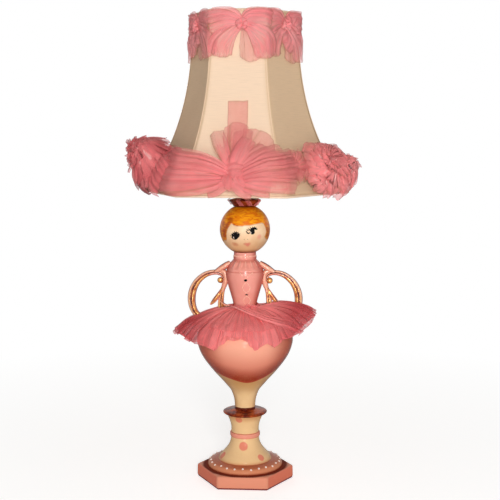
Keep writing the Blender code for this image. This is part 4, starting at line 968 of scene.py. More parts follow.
def brushed(name, strokes, lay, thick):
    """Brush strokes on a casting: lay puts the (place, place, half width) of each stroke on its surface."""
    shape = bmesh.new()
    for stroke in strokes:
        path = curve_through(stroke, 5)
        before = None
        for k, here in enumerate(path):
            ahead = path[min(k + 1, len(path) - 1)] - path[max(k - 1, 0)]
            centre = Vector(lay(here.x, here.y, thick))
            on = Vector(lay(here.x + ahead.x * 0.01, here.y + ahead.y * 0.01, thick)) - centre
            outward = (centre - Vector((0, 0, centre.z))).normalized()
            side = on.cross(outward).normalized()
            row = []
            for share in (-1, -0.6, -0.2, 0.2, 0.6, 1):
                away = share * max(here.z, 0.00004)
                sunk = thick * share**4 + away**2 * 14
                row.append(shape.verts.new(centre + side * away - outward * sunk))
            if before:
                for step in range(5):
                    shape.faces.new((before[step], row[step], row[step + 1], before[step + 1]))
            before = row
    mesh = bpy.data.meshes.new(name)
    shape.to_mesh(mesh)
    shape.free()
    mesh.shade_smooth()
    return mesh


def blob(centre, wide, tall, tilt):
    """An oval on the head as one broad stroke: its places in degrees, its half width in metres."""
    tilt = math.radians(tilt)
    stroke = []
    for share in (-1, -0.86, -0.5, 0, 0.5, 0.86, 1):
        away = share * tall
        width = wide * math.sqrt(max(0, 1 - share**2))
        stroke.append((centre[0] + away * math.sin(tilt), centre[1] + away * math.cos(tilt), width))
    return stroke


def make_face():
    """Wide-awake eyes with fanned lashes, and two dots for a nose."""
    degree = math.radians(1) * HEAD_RADIUS
    lashes = [
        ((-29.2, -9.4), (-32.8, -10.6)), ((-26.9, -6.6), (-29.8, -5.4)), ((-23.3, -4.0), (-25.0, -1.6)),
        ((-19.9, -2.5), (-20.9, 0.9)), ((-16.3, -2.4), (-15.2, 0.7)), ((-12.6, -3.3), (-10.6, -0.9)),
        ((-9.4, -5.8), (-6.8, -4.0)), ((18.3, 5.0), (16.8, 8.0), (15.4, 10.8)),
        ((15.7, 3.0), (13.2, 5.6), (10.2, 7.5)), ((12.2, 3.2), (9.4, 4.2), (6.6, 4.6)),
        ((21.5, 6.4), (21.1, 11.2)), ((25.5, 7.0), (26.5, 11.4)),
        ((28.6, 6.6), (30.9, 9.8)), ((30.4, 5.0), (34.0, 5.4)), ((7.6, 0.6), (5.0, 1.4)),
    ]
    strokes = []
    for lash in lashes:
        spans = len(lash) - 1
        strokes.append([(*place, 0.00050 - 0.00030 * k / spans) for k, place in enumerate(lash)])
    lids = [
        ((-31.5, -11.2, 0.0), (-26.4, -6.6, 0.6), (-19.1, -2.9, 0.9), (-12.3, -3.4, 0.8), (-7.2, -7.7, 0.1)),
        (
            (-31.2, -11.4, 0.0), (-28.2, -15.0, 0.5), (-23.1, -17.7, 0.7),
            (-17.5, -17.2, 0.8), (-11.9, -12.9, 0.7), (-7.2, -7.8, 0.1),
        ),
        ((15.2, 1.6, 0.6), (19.0, 4.4, 1.9), (24.1, 5.4, 2.4), (28.4, 5.2, 1.9), (32.6, 3.8, 0.2)),
        (
            (15.6, 2.9, 0.4), (11.3, 3.2, 0.6), (7.2, 0.7, 0.4),
            (9.7, -3.3, 1.0), (13.3, -3.6, 0.7), (16.4, -1.2, 0.2),
        ),
    ]
    strokes += [[(across, up, width * 0.001) for across, up, width in lid] for lid in lids]
    eyes = [blob((-18.6, -10.4), 7.2 * degree, 7.6, 12), blob((-24.6, -11.2), 4.6 * degree, 5.4, 8)]
    eyes += [blob((-12.0, -9.2), 3.4 * degree, 4.8, 20), blob((20.9, -0.2), 6.0 * degree, 6.8, 25)]
    dots = [blob((2.0, -18.4), 0.00042, 0.7, 0), blob((10.2, -18.0), 0.00042, 0.7, 0)]
    enamel = black_enamel()
    settle("eyes_and_lashes", brushed("eyes", strokes + eyes + dots, on_head, 0.00010), "stand", [enamel])
    # Glints: white highlights painted on the eyes.
    glints = [blob((-23.6, -13.8), 1.3 * degree, 1.6, 30), blob((17.0, -2.6), 0.9 * degree, 2.0, -10)]
    glint = brushed("eye_glints", glints, lambda a, b, lift: on_head(a, b, lift + 0.0001), 0.00012)
    settle("eye_glints", glint, "stand", [white_slip()])


def make_slip_trails():
    """Trailed slip: crossed lacing over two diamonds, neck beads, buttons and the dots of the foot."""
    slip, blush = white_slip(), blush_slip()
    lines = [
        [(-13.0, 0.2886), (-7.5, 0.2858), (-1.0, 0.2826), (5.6, 0.2802)],
        [(28.4, 0.2882), (21.5, 0.2858), (13.0, 0.2828), (5.6, 0.2802)],
        [(7.2, 0.2752), (0.6, 0.2724), (-5.2, 0.2674), (-0.4, 0.2630), (8.0, 0.2602)],
        [(7.2, 0.2752), (15.0, 0.2722), (22.6, 0.2674), (18.0, 0.2628), (8.0, 0.2602)],
        [(10.6, 0.2556), (2.0, 0.2534), (-4.6, 0.2492), (2.0, 0.2452), (13.0, 0.2430)],
        [(10.6, 0.2556), (21.0, 0.2532), (29.6, 0.2490), (24.0, 0.2450), (13.0, 0.2430)],
    ]
    paths = []
    for line in lines:
        fine = [tuple(Vector(a).lerp(Vector(b), k / 4)) for a, b in zip(line, line[1:]) for k in range(4)]
        paths.append([on_bodice(*place) for place in [*fine, line[-1]]])
    values = {"Radius": 0.00044, "Sides": 8, "Finish": blush}
    settle("lacing", grown("lacing", PIPING, paths, values), "stand", [blush])

    count, radius = 30, 0.0149
    beads = []
    for k in range(count):
        angle = TURN * k / count
        beads.append((radius * math.cos(angle), radius * math.sin(angle), YOKE_TOP + 0.0063))
    neck = grown("neck_beads", BEADING, [[bead] for bead in beads], {"Radius": 0.0010, "Finish": blush})
    settle("neck_beads", neck, "stand", [blush])

    count = 27
    dots = []
    for k in range(count):
        angle = TURN * (k + 0.25) / count
        level = PLINTH_TOP + 0.0070 + 0.0005 * math.sin(k * 2.3)
        radius = radius_on(PEDESTAL, level) - 0.0004
        dots.append((radius * math.cos(angle), radius * math.sin(angle), level))
    ring = grown("foot_dots", BEADING, [[dot] for dot in dots], {"Radius": 0.0015, "Finish": slip})
    settle("foot_dots", ring, "stand", [slip])

    button = [(5.6, 0.2762, 0.0012), (5.6, 0.2772, 0.0021), (5.6, 0.2784, 0.0020), (5.6, 0.2793, 0.0010)]
    hook = [(4.6, 0.2588, 0.0), (7.2, 0.2572, 0.0006), (10.0, 0.2582, 0.0006)]
    hook += [(13.0, 0.2570, 0.0006), (15.8, 0.2588, 0.0)]
    buttons = brushed("buttons", [button, hook], on_bodice, 0.0003)
    settle("bodice_buttons", buttons, "stand", [black_enamel()])


# Handles. Places on a handle are (share of the way out, share of the way up the arm, half width).

HANDLE_BRANCHES = {
    "scroll": (
        (0.455, 0.712, 0.0030), (0.412, 0.752, 0.0024), (0.428, 0.812, 0.0027), (0.520, 0.852, 0.0033),
        (0.63, 0.848, 0.0037), (0.76, 0.800, 0.0041),
        (0.89, 0.690, 0.0047), (0.97, 0.550, 0.0053), (1.00, 0.400, 0.0055), (0.985, 0.250, 0.0051),
        (0.92, 0.120, 0.0045), (0.80, 0.035, 0.0043), (0.66, -0.020, 0.0045), (0.58, -0.090, 0.0047),
    ),
    "shoulder": ((0.27, 1.025, 0.0036), (0.345, 0.985, 0.0042), (0.43, 0.930, 0.0044), (0.54, 0.865, 0.0032)),
    "stem": (
        (0.450, 0.880, 0.0028), (0.385, 0.855, 0.0038), (0.362, 0.780, 0.0042), (0.362, 0.705, 0.0042),
        (0.383, 0.635, 0.0037), (0.410, 0.560, 0.0031), (0.428, 0.480, 0.0031), (0.442, 0.400, 0.0036),
        (0.452, 0.300, 0.0042), (0.445, 0.200, 0.0045), (0.42, 0.100, 0.0044), (0.40, 0.000, 0.0044),
    ),
    "leaf": ((0.405, 0.590, 0.0020), (0.47, 0.490, 0.0026), (0.575, 0.350, 0.0030), (0.65, 0.272, 0.0012)),
    "tendril": (
        (0.445, 0.320, 0.0026), (0.390, 0.268, 0.0024), (0.33, 0.258, 0.0020), (0.285, 0.268, 0.0014),
    ),
}
VOLUTE = (0.460, 0.715, 0.0036)
VOLUTE_BALL = 0.0042


def handle_marks(points, strands, reach, low, high, side):
    """Where the gold, the brown lustre with its painted shade, and the cream ridges with their painted
    highlight lie on a handle, and how deep its grooves are.
    """
    shares, lanes = [], []
    for path in strands.values():
        away = points[:, None, ::2] - path[None, :, :2]
        share = np.hypot(away[..., 0], away[..., 1]) / path[None, :, 2]
        nearest = share.argmin(axis=1)
        rows = np.arange(len(points))
        shares.append(share[rows, nearest])
        lanes.append(side * (away[rows, nearest] * path[nearest, 3:5]).sum(axis=1) / path[nearest, 2])
    shares, lanes = np.array(shares), np.array(lanes)
    order = np.argsort(shares, axis=0)
    rows = np.arange(len(points))
    first, second, lane = shares[order[0], rows], shares[order[1], rows], lanes[order[0], rows]
    strand = np.array(list(strands))[order[0]]
    out = np.abs(points[:, 0]) / reach
    up = (points[:, 2] - low) / (high - low)
    front = eased_array((np.abs(points[:, 1]) / 0.0036 - 0.15) / 0.6)
    seam = eased_array(1 - (second - first) / 0.40) * eased_array((first - 0.45) / 0.3) * front

    def stripe(centre, width):
        return np.exp(-(((lane - centre) / width) ** 2)) * front

    # Brown at the edges of each strand is painted shade; cream on the ridges is cream glaze lightened as a
    # painted highlight.
    gold, brown, cream, groove = (np.zeros(len(points)) for _ in range(4))
    here = strand == "scroll"
    wide = eased_array((out - 0.58) / 0.16)
    outer_line = stripe(0.42, 0.14) * eased_array((out - 0.84) / 0.1) * 0.6
    gold[here] = (stripe(-0.46, 0.30) * wide + outer_line)[here]
    brown[here] = (stripe(0.08, 0.28) + 0.7 * eased_array((np.abs(lane) - 0.76) / 0.2))[here]
    cream[here] = 0.75 * stripe(0.62, 0.20)[here]
    groove[here] = stripe(0.08, 0.24)[here]
    here = strand == "stem"
    foot = eased_array((0.56 - up) / 0.10)
    gold[here] = (foot * (stripe(-0.48, 0.20) + stripe(0.42, 0.18)))[here]
    brown[here] = (foot * stripe(-0.02, 0.24) + 0.45 * eased_array((np.abs(lane) - 0.80) / 0.2))[here]
    cream[here] = ((1 - foot) * stripe(-0.1, 0.4) * 0.5 + foot * stripe(0.42, 0.3))[here]
    groove[here] = (foot * stripe(-0.02, 0.24))[here]
    here = strand == "leaf"
    gold[here] = stripe(-0.10, 0.50)[here]
    brown[here] = (stripe(0.62, 0.22) + 0.4 * eased_array((np.abs(lane) - 0.85) / 0.15))[here]
    here = strand == "shoulder"
    cream[here] = 0.55 * stripe(0.15, 0.35)[here]
    brown[here] = (0.9 * eased_array((np.abs(lane) - 0.60) / 0.3))[here]
    here = strand == "tendril"
    gold[here] = stripe(0.2, 0.35)[here]
    brown[here] = (0.8 * eased_array((np.abs(lane) - 0.6) / 0.3))[here]
    aside, above = np.abs(points[:, 0]) - reach * VOLUTE[0], points[:, 2] - mix(low, high, VOLUTE[1])
    ball = np.hypot(aside, above) / VOLUTE[2]
    here = ball < 1.15
    gold[here] = (eased_array((1.05 - ball) / 0.3) * front)[here]
    brown[here] = (eased_array((ball - 0.80) / 0.25))[here]
    cream[here] = 0
    groove[here] = 0
    seam[here] = 0
    brown, groove = np.maximum(brown, seam), np.maximum(groove, seam)
    return {"gold": gold, "brown": brown, "cream": cream, "groove": groove}


def make_handle(name, side, finish):
    """A scrolled arm whose strands flow together, grooved down its ring and with gold on its crests."""
    low, high = BOWL_TOP - 0.0136, YOKE_LOW + 0.0085
    reach = 0.0728
    count = 20
    shape = bmesh.new()
    strands = {}
    for branch, places in HANDLE_BRANCHES.items():
        line = [(side * reach * out, mix(low, high, up), width) for out, up, width in places]
        path = curve_through(line, 10)
        before = None
        strands[branch] = []
        for k, here in enumerate(path):
            ahead = path[min(k + 1, len(path) - 1)] - path[max(k - 1, 0)]
            along = Vector((ahead.x, 0, ahead.y)).normalized()
            across = Vector((-along.z, 0, along.x))
            centre, width = Vector((here.x, 0, here.y)), here.z
            depth = min(width, 0.0050)
            strands[branch].append((here.x, here.y, width, across.x, across.z))
            row = []
            for step in range(count):
                angle = TURN * step / count
                point = centre + across * width * math.cos(angle) + Vector((0, depth * math.sin(angle), 0))
                row.append(shape.verts.new(point))
            if before:
                for step in range(count):
                    after = (step + 1) % count
                    shape.faces.new((before[step], before[after], row[after], row[step]))
            else:
                shape.faces.new(row)
            before = row
        shape.faces.new(list(reversed(before)))
        strands[branch] = np.array(strands[branch])
    eye = Vector((side * reach * VOLUTE[0], 0, mix(low, high, VOLUTE[1])))
    at_eye = Matrix.Translation(eye)
    bmesh.ops.create_uvsphere(shape, u_segments=20, v_segments=12, radius=VOLUTE_BALL, matrix=at_eye)
    bmesh.ops.recalc_face_normals(shape, faces=shape.faces)
    mesh = bpy.data.meshes.new(name)
    shape.to_mesh(mesh)
    shape.free()
    holder = bpy.data.objects.new(name, mesh)
    bpy.context.scene.collection.objects.link(holder)
    remesh = holder.modifiers.new("Flow together", "REMESH")
    remesh.mode = "VOXEL"
    remesh.voxel_size = 0.00050
    soften = holder.modifiers.new("Soften", "SMOOTH")
    soften.factor = 0.5
    soften.iterations = 5
    graph = bpy.context.evaluated_depsgraph_get()
    cast = bpy.data.meshes.new_from_object(holder.evaluated_get(graph))
    cast.name = name
    bpy.data.objects.remove(holder)
    points = np.array([tuple(v.co) for v in cast.vertices])
    marks = handle_marks(points, strands, reach, low, high, side)
    points[:, 1] -= np.sign(points[:, 1]) * 0.0008 * marks.pop("groove")
    cast.vertices.foreach_set("co", points.astype(np.float32).ravel())
    cast.update()
    cast.shade_smooth()
    for mark, values in marks.items():
        cast.attributes.new(mark, "FLOAT", "POINT").data.foreach_set("value", values.astype(np.float32))
    settle(name + "_casting", cast, "stand", [finish], [name])


# Shade.

SIDES = ("front", "front_right", "back_right", "back", "back_left", "front_left")
SHADE_TURN = math.radians(-4.5)
SHADE_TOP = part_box("shade_panel_front")[1][2]
SHADE_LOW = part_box("shade_panel_front")[0][2]
SHADE_HEIGHT = SHADE_TOP - SHADE_LOW
TOP_RADIUS = 0.0708
RIM_RADIUS = 0.1385
CORNER_ROUND = 0.016
FLAT = math.cos(math.pi / 6)


def shade_radius(height):
    """Centre to corner: near straight at the top, flaring like a bell to its rim, and plumb below that."""
    down = (SHADE_TOP - height) / SHADE_HEIGHT
    return mix(TOP_RADIUS, RIM_RADIUS, min(max(down, 0), 1) ** 2.5)


def shade_frame_of(side):
    facing = TURN * side / 6 - math.pi / 2 + SHADE_TURN
    normal = Vector((math.cos(facing), math.sin(facing), 0))
    return normal, Vector((-normal.y, normal.x, 0))


def on_shade(side, across, height, out=0.0):
    """A point off the shade: across from a side's middle, on round its corners, and out from its face."""
    half = shade_radius(height) / 2
    while across > half:
        across, side = across - 2 * half, side + 1
    while across < -half:
        across, side = across + 2 * half, side - 1
    normal, along = shade_frame_of(side)
    near = max(0.0, (abs(across) - half) / CORNER_ROUND + 1)
    beside, _ = shade_frame_of(side + (1 if across > 0 else -1))
    lean = normal.lerp(beside, 0.5 * eased(near)).normalized()
    step = 0.009
    slope = (shade_radius(height - step) - shade_radius(height + step)) * FLAT / (2 * step)
    lift = (lean + UP * slope).normalized()
    return normal * (half * 2 * FLAT) + along * across + UP * height + lift * out


def grid_mesh(points, flats, marks):
    """A sheet from rows of points, with its place on the cloth in metres and values for its material."""
    points, flats = np.asarray(points, float), np.asarray(flats, float)
    rows, columns = points.shape[:2]
    index = np.arange(rows * columns).reshape(rows, columns)
    faces = np.stack([index[:-1, :-1], index[:-1, 1:], index[1:, 1:], index[1:, :-1]], -1).reshape(-1, 4)
    values = {mark: np.asarray(value, float).ravel() for mark, value in marks.items()}
    return points.reshape(-1, 3), flats.reshape(-1, 2), faces, values


def sheet_mesh(name, grids):
    """Joins grids into one mesh."""
    points, flats, faces, marks, first = [], [], [], {}, 0
    for place, flat, quads, values in grids:
        points.append(place)
        flats.append(flat)
        faces.append(quads + first)
        for key, value in values.items():
            marks.setdefault(key, []).append(value)
        first += len(place)
    points, flats, faces = np.concatenate(points), np.concatenate(flats), np.concatenate(faces)
    mesh = bpy.data.meshes.new(name)
    mesh.from_pydata(points.tolist(), [], faces.tolist())
    layer = mesh.uv_layers.new(name="cloth")
    corners = np.empty(len(mesh.loops), np.int32)
    mesh.loops.foreach_get("vertex_index", corners)
    layer.data.foreach_set("uv", flats[corners].astype(np.float32).ravel())
    for key, value in marks.items():
        mark = mesh.attributes.new(key, "FLOAT", "POINT")
        mark.data.foreach_set("value", np.concatenate(value).astype(np.float32))
    mesh.shade_smooth()
    return mesh


def make_panels(satin, shaded_side_fabric, lining):
    """Six satin panels stretched over a stiff lining, with bound edges and corded seams."""
    rows, columns = 44, 24
    for side, place in enumerate(SIDES):
        # The four slanting side panels take a darker copy of the satin: painted shade.
        fabric = satin if side % 3 == 0 else shaded_side_fabric
        points, flats, seams = [], [], []
        run = 0.0
        for row in range(rows + 1):
            height = mix(SHADE_LOW, SHADE_TOP, row / rows)
            half = shade_radius(height) / 2 - 0.0004
            if row:
                before = mix(SHADE_LOW, SHADE_TOP, (row - 1) / rows)
                run += math.hypot(height - before, (shade_radius(height) - shade_radius(before)) * FLAT)
            line, flat, seam = [], [], []
            for column in range(columns + 1):
                share = column / columns * 2 - 1
                drawn = 0.0009 * (1 - share**2) * math.sin(math.pi * row / rows)
                line.append(on_shade(side, share * half, height, -drawn))
                flat.append((share * half, run))
                edge = min(half - abs(share * half), run, SHADE_HEIGHT * 1.06 - run)
                seam.append(eased(1 - edge / 0.005) * 0.9)
            points.append(line)
            flats.append(flat)
            seams.append(seam)
        mesh = sheet_mesh(f"satin_{place}", [grid_mesh(points, flats, {"seam": seams})])
        panel = settle(f"satin_{place}", mesh, "shade", [fabric, lining], [f"shade_panel_{place}"])
        thick = panel.modifiers.new("Cloth and lining", "SOLIDIFY")
        thick.thickness = 0.0008
        thick.offset = -1
        thick.material_offset = 1
        thick.material_offset_rim = 1
        levels = [mix(SHADE_LOW, SHADE_TOP, (k + 0.5) / 40) for k in range(40)]
        area = sum(shade_radius(level) * run / 40 for level in levels)
    corners = []
    for corner in range(6):
        levels = [mix(SHADE_LOW, SHADE_TOP, k / 30) for k in range(31)]
        corners.append([on_shade(corner, shade_radius(z) / 2 - 0.00001, z, -0.0002) for z in levels])
    cord = {"Radius": 0.0005, "Sides": 8, "Finish": satin}
    settle("shade_seams", grown("shade_seams", PIPING, corners, cord), "shade", [satin])
    for name, level in (("rim_binding", SHADE_LOW), ("top_binding", SHADE_TOP)):
        ring = []
        for corner in range(6):
            for k in range(8):
                half = shade_radius(level) / 2
                ring.append(on_shade(corner, mix(-half, half, k / 8) * 0.999, level, -0.0004))
        values = {"Radius": 0.0014, "Sides": 12, "Finish": satin}
        settle(name, grown(name, PIPING, [ring], values, closed=True), "shade", [satin])


# Tulle. Leaves and skirts are grids of pleated net; each knows the area that it was cut to.

TULLE_STRIP = 0.075
NARROW_STRIP = 0.050
LEAST_LIFT = 0.0012


def through(stations, count):
    """Rows of numbers on a smooth run through stations, so many spans long."""
    knots = np.asarray(stations, float)
    knots = np.concatenate([[2 * knots[0] - knots[1]], knots, [2 * knots[-1] - knots[-2]]])
    at = np.linspace(0, len(stations) - 1, count + 1)
    first = np.minimum(at.astype(int), len(stations) - 2)
    t = (at - first)[:, None]
    before, start, end, after = (knots[first + k] for k in range(4))
    pull = 2 * before - 5 * start + 4 * end - after
    twist = 3 * start - before - 3 * end + after
    return (2 * start + (end - before) * t + pull * t**2 + twist * t**3) / 2


def crumple(rng, across, along, size):
    """A slow uneven rise and fall, about one across in height."""
    height = 0
    for wide, strength in ((1.1, 0.5), (2.3, 0.3), (4.1, 0.2)):
        lean = rng.uniform(-1, 1, 2)
        start = rng.uniform(0, TURN, 2)
        one_way = np.sin(wide * (across + lean[0] * along) / size + start[0])
        other_way = np.sin(wide * (along + lean[1] * across) / size + start[1])
        height = height + strength * one_way * other_way
    return height


def pleat_waves(rng, share, pleats, along):
    """Uneven pleats across a width from -1 to 1: each point's height, and its push to the side."""
    start = rng.uniform(0, TURN, 4)
    drift = 0.35 * np.sin(2.3 * share + start[0]) + 0.2 * np.sin(5.7 * share + start[1])
    uneven = share + drift / max(pleats, 1)
    phase = math.pi * pleats * uneven + start[2] + 0.5 * along
    high = np.sin(phase) * (0.75 + 0.25 * np.sin(phase * 0.37 + start[3]))
    return high, np.sin(2 * phase) / (math.pi * max(pleats, 1)) * 0.45


def cut_area(points):
    """The area of a grid of points."""
    across = points[1:, :-1] - points[:-1, :-1]
    along = points[:-1, 1:] - points[:-1, :-1]
    return float(np.linalg.norm(np.cross(across, along), axis=-1).sum())


def laid(lay, across, up, lift):
    """The points of a grid that lay puts on a surface, none closer to it than the least lift."""
    rows = zip(across, up, np.maximum(lift, LEAST_LIFT))
    return np.array([[tuple(lay(*spot)) for spot in zip(*row)] for row in rows])


def leaf(lay, path, pleats=3, depth=2.0, seed=0, full=(0.85, 0.12), crown=0.25, jag=0.0, detail=1.0):
    """A leaf of net from its gathered root to its free end.

    Its path is (across, up, half width, lift) in mm, and full is how thick it lies at its root and its end.
    """
    rng = np.random.default_rng(seed)
    length = np.hypot(*np.diff(np.asarray(path, float)[:, :2], axis=0).T).sum()
    rows = int(max(10, length / 3.2 * detail))
    columns = int(max(10, pleats * 10 * detail))
    run = through(path, rows) / 1000
    ahead = np.gradient(run[:, :2], axis=0)
    ahead /= np.linalg.norm(ahead, axis=1, keepdims=True)
    beside = np.stack([ahead[:, 1], -ahead[:, 0]], 1)
    share = np.linspace(-1, 1, columns + 1)[None, :]
    along = np.linspace(0, 1, rows + 1)[:, None]
    half = np.maximum(run[:, 2:3], 0.001)
    high, push = pleat_waves(rng, share, pleats, along)
    grow = (0.35 + 0.65 * along) * (1 - 0.3 * along**3)
    soft = crumple(rng, share * half, along * length / 1000, 0.011)
    arch = run[:, 3:4] * (1 - 0.28 * share**2 * along)
    lift = arch + 0.75 * depth / 1000 * high * grow + 0.0016 * soft * along
    wide = half * (share + push)
    teeth = jag * depth / 1000 * high * along**6
    end = -crown * half * share**2 * along**2 + teeth + 0.0010 * soft * along**4
    across = run[:, 0:1] + beside[:, 0:1] * wide + ahead[:, 0:1] * end
    up = run[:, 1:2] + beside[:, 1:2] * wide + ahead[:, 1:2] * end
    points = laid(lay, across, up, lift)
    cloth = np.stack([share * half.max() * 1.2 + 0 * along, along * length / 1000 + 0 * share], -1)
    # Hollows of the pleats: where shade is painted on the net.
    hollow = np.clip(-high, 0, 1) ** 2 * (0.35 + 0.4 * (1 - along))
    hem = np.maximum(eased_array((np.abs(share) - 0.90) / 0.08), eased_array((along - 0.955) / 0.03))
    fold = np.clip(hollow + 0.30 * hem, 0, 1)
    airy = 1 - 0.5 * np.maximum(eased_array((np.abs(share) - 0.62) / 0.36), eased_array((along - 0.8) / 0.2))
    fullness = full[0] + (full[1] - full[0]) * eased_array(along * 1.15) + 0.10 * np.clip(high, 0, 1)
    fullness = fullness * airy
    return grid_mesh(points, cloth, {"fold": fold, "full": np.clip(fullness, 0, 1)}), cut_area(points)


def make_tulle(name, leaves, net_finish, body, replaced, width=TULLE_STRIP):
    """Joins leaves into one piece. Their area is summed and divided by the given width, and the result is not
    used.
    """
    mesh = sheet_mesh(name, [grid for grid, _ in leaves])
    piece = settle(name, mesh, body, [net_finish], replaced)
    area = sum(part for _, part in leaves)
    area / width


def frills(
    lay, centre, reach, count, seed, lifts, width,
    turn=0, pleats=4, depth=2.0, squash=1.0, full=(0.9, 0.3), floor=-99,
):
    """Leaves set round a centre like a rosette. Below the floor they bunch up."""
    rng = np.random.default_rng(seed)
    leaves = []
    for k in range(count):
        angle = math.radians(turn) + TURN * (k + rng.uniform(-0.2, 0.2)) / count
        far = reach * rng.uniform(0.85, 1.12)
        bend = rng.uniform(-0.35, 0.35)
        path = []
        for share, broad, lift in zip((0.02, 0.34, 0.68, 1.0), (0.16, 0.62, 0.95, 1.0), lifts):
            away = angle + bend * (share - 0.5)
            aside = centre[0] + far * share * math.sin(away)
            up = centre[1] + far * share * math.cos(away) * squash
            up = max(up, floor + 0.2 * (up - floor))
            path.append((aside, up, width * broad, lift * rng.uniform(0.85, 1.15)))
        leaves.append(leaf(lay, path, pleats, depth, seed * 31 + k, full, 0.35, 0.2))
    return leaves


def rosette(
    lay, centre, reach, high, seed, heart=(0, 0), rounds=4.3, waves=11, stand=5.0, low=3.0, full=(0.9, 0.40)
):
    """A strip of net gathered along one edge and coiled into a rosette, its free edge curling outward.

    Its reach is how far it spreads, in mm, at equal steps round from straight up.
    """
    rng = np.random.default_rng(seed)
    turn = np.linspace(0, rounds * TURN, int(rounds * 96) + 1)[None, :]
    share = np.linspace(0, 1, 19)[:, None]
    wound = turn / turn.max()
    start = rng.uniform(0, TURN, 4)
    spread = np.interp(turn % TURN / TURN * len(reach), np.arange(len(reach) + 1), [*reach, reach[0]]) / 1000
    outer = 1 - 0.80 * np.clip((turn - TURN) / (turn.max() - TURN), 0, 1)
    away = np.maximum(outer - 0.42 * (1 - share), 0.02)
    curl = waves * turn + 2.2 * np.sin(2 * turn + start[0]) + 1.6 * np.sin(3.7 * turn + start[1])
    wave = np.sin(curl + 1.5 * share) * (0.7 + 0.3 * np.sin(curl * 0.31 + start[2]))
    flat_across, flat_up = spread * away * np.sin(turn), spread * away * np.cos(turn)
    soft = crumple(rng, flat_across, flat_up, 0.009)
    crease = 1 - 2.2 * np.abs(crumple(rng, flat_up, flat_across + 0.1 * wound, 0.007))
    away = away * (1 + 0.06 * soft * share) + 0.045 * (0.55 + 0.45 * wound) * wave * share**2
    angle = turn + 0.35 * share + (0.10 * np.sin(2 * curl) * share**2 + 0.06 * soft * share) / (0.3 + away)
    inward = 1 - np.clip(away, 0, 1)
    across = centre[0] + heart[0] * inward + 1000 * spread * away * np.sin(angle)
    up = centre[1] + heart[1] * inward + 1000 * spread * away * np.cos(angle)
    dome = low + (high - low) * np.sqrt(np.clip(1 - away**2, 0.02, 1))
    gathers = 0.5 * np.sin(2 * curl + 2 * share) * (1 - share)
    frill = share**2 * (stand * (0.4 + 0.6 * wound) + 2.4 * wave)
    lift = dome + frill + 1.8 * soft + 1.9 * crease + gathers - 2.0
    points = laid(lay, across / 1000, up / 1000, lift / 1000)
    cloth = np.stack([turn * 0.02 + 0 * share, share * 0.037 + 0 * turn], -1)
    hem = eased_array((share - 0.93) / 0.05)
    # Hollows of the pleats: where shade is painted on the net.
    hollow = np.clip(-wave, 0, 1) ** 2 * (0.75 - 0.30 * share)
    fold = np.clip(hollow + 0.35 * hem + 0.9 * np.clip(-crease, 0, 1), 0, 1)
    fullness = full[0] + (full[1] - full[0]) * eased_array((share - 0.45) / 0.5) + 0.1 * np.clip(wave, 0, 1)
    return grid_mesh(points, cloth, {"fold": fold, "full": np.clip(fullness, 0, 1)}), cut_area(points)


def shade_lay(side, level):
    """What puts net on a side of the shade, with heights counted from a level."""
    return lambda across, up, out: on_shade(side, across, level + up, out)


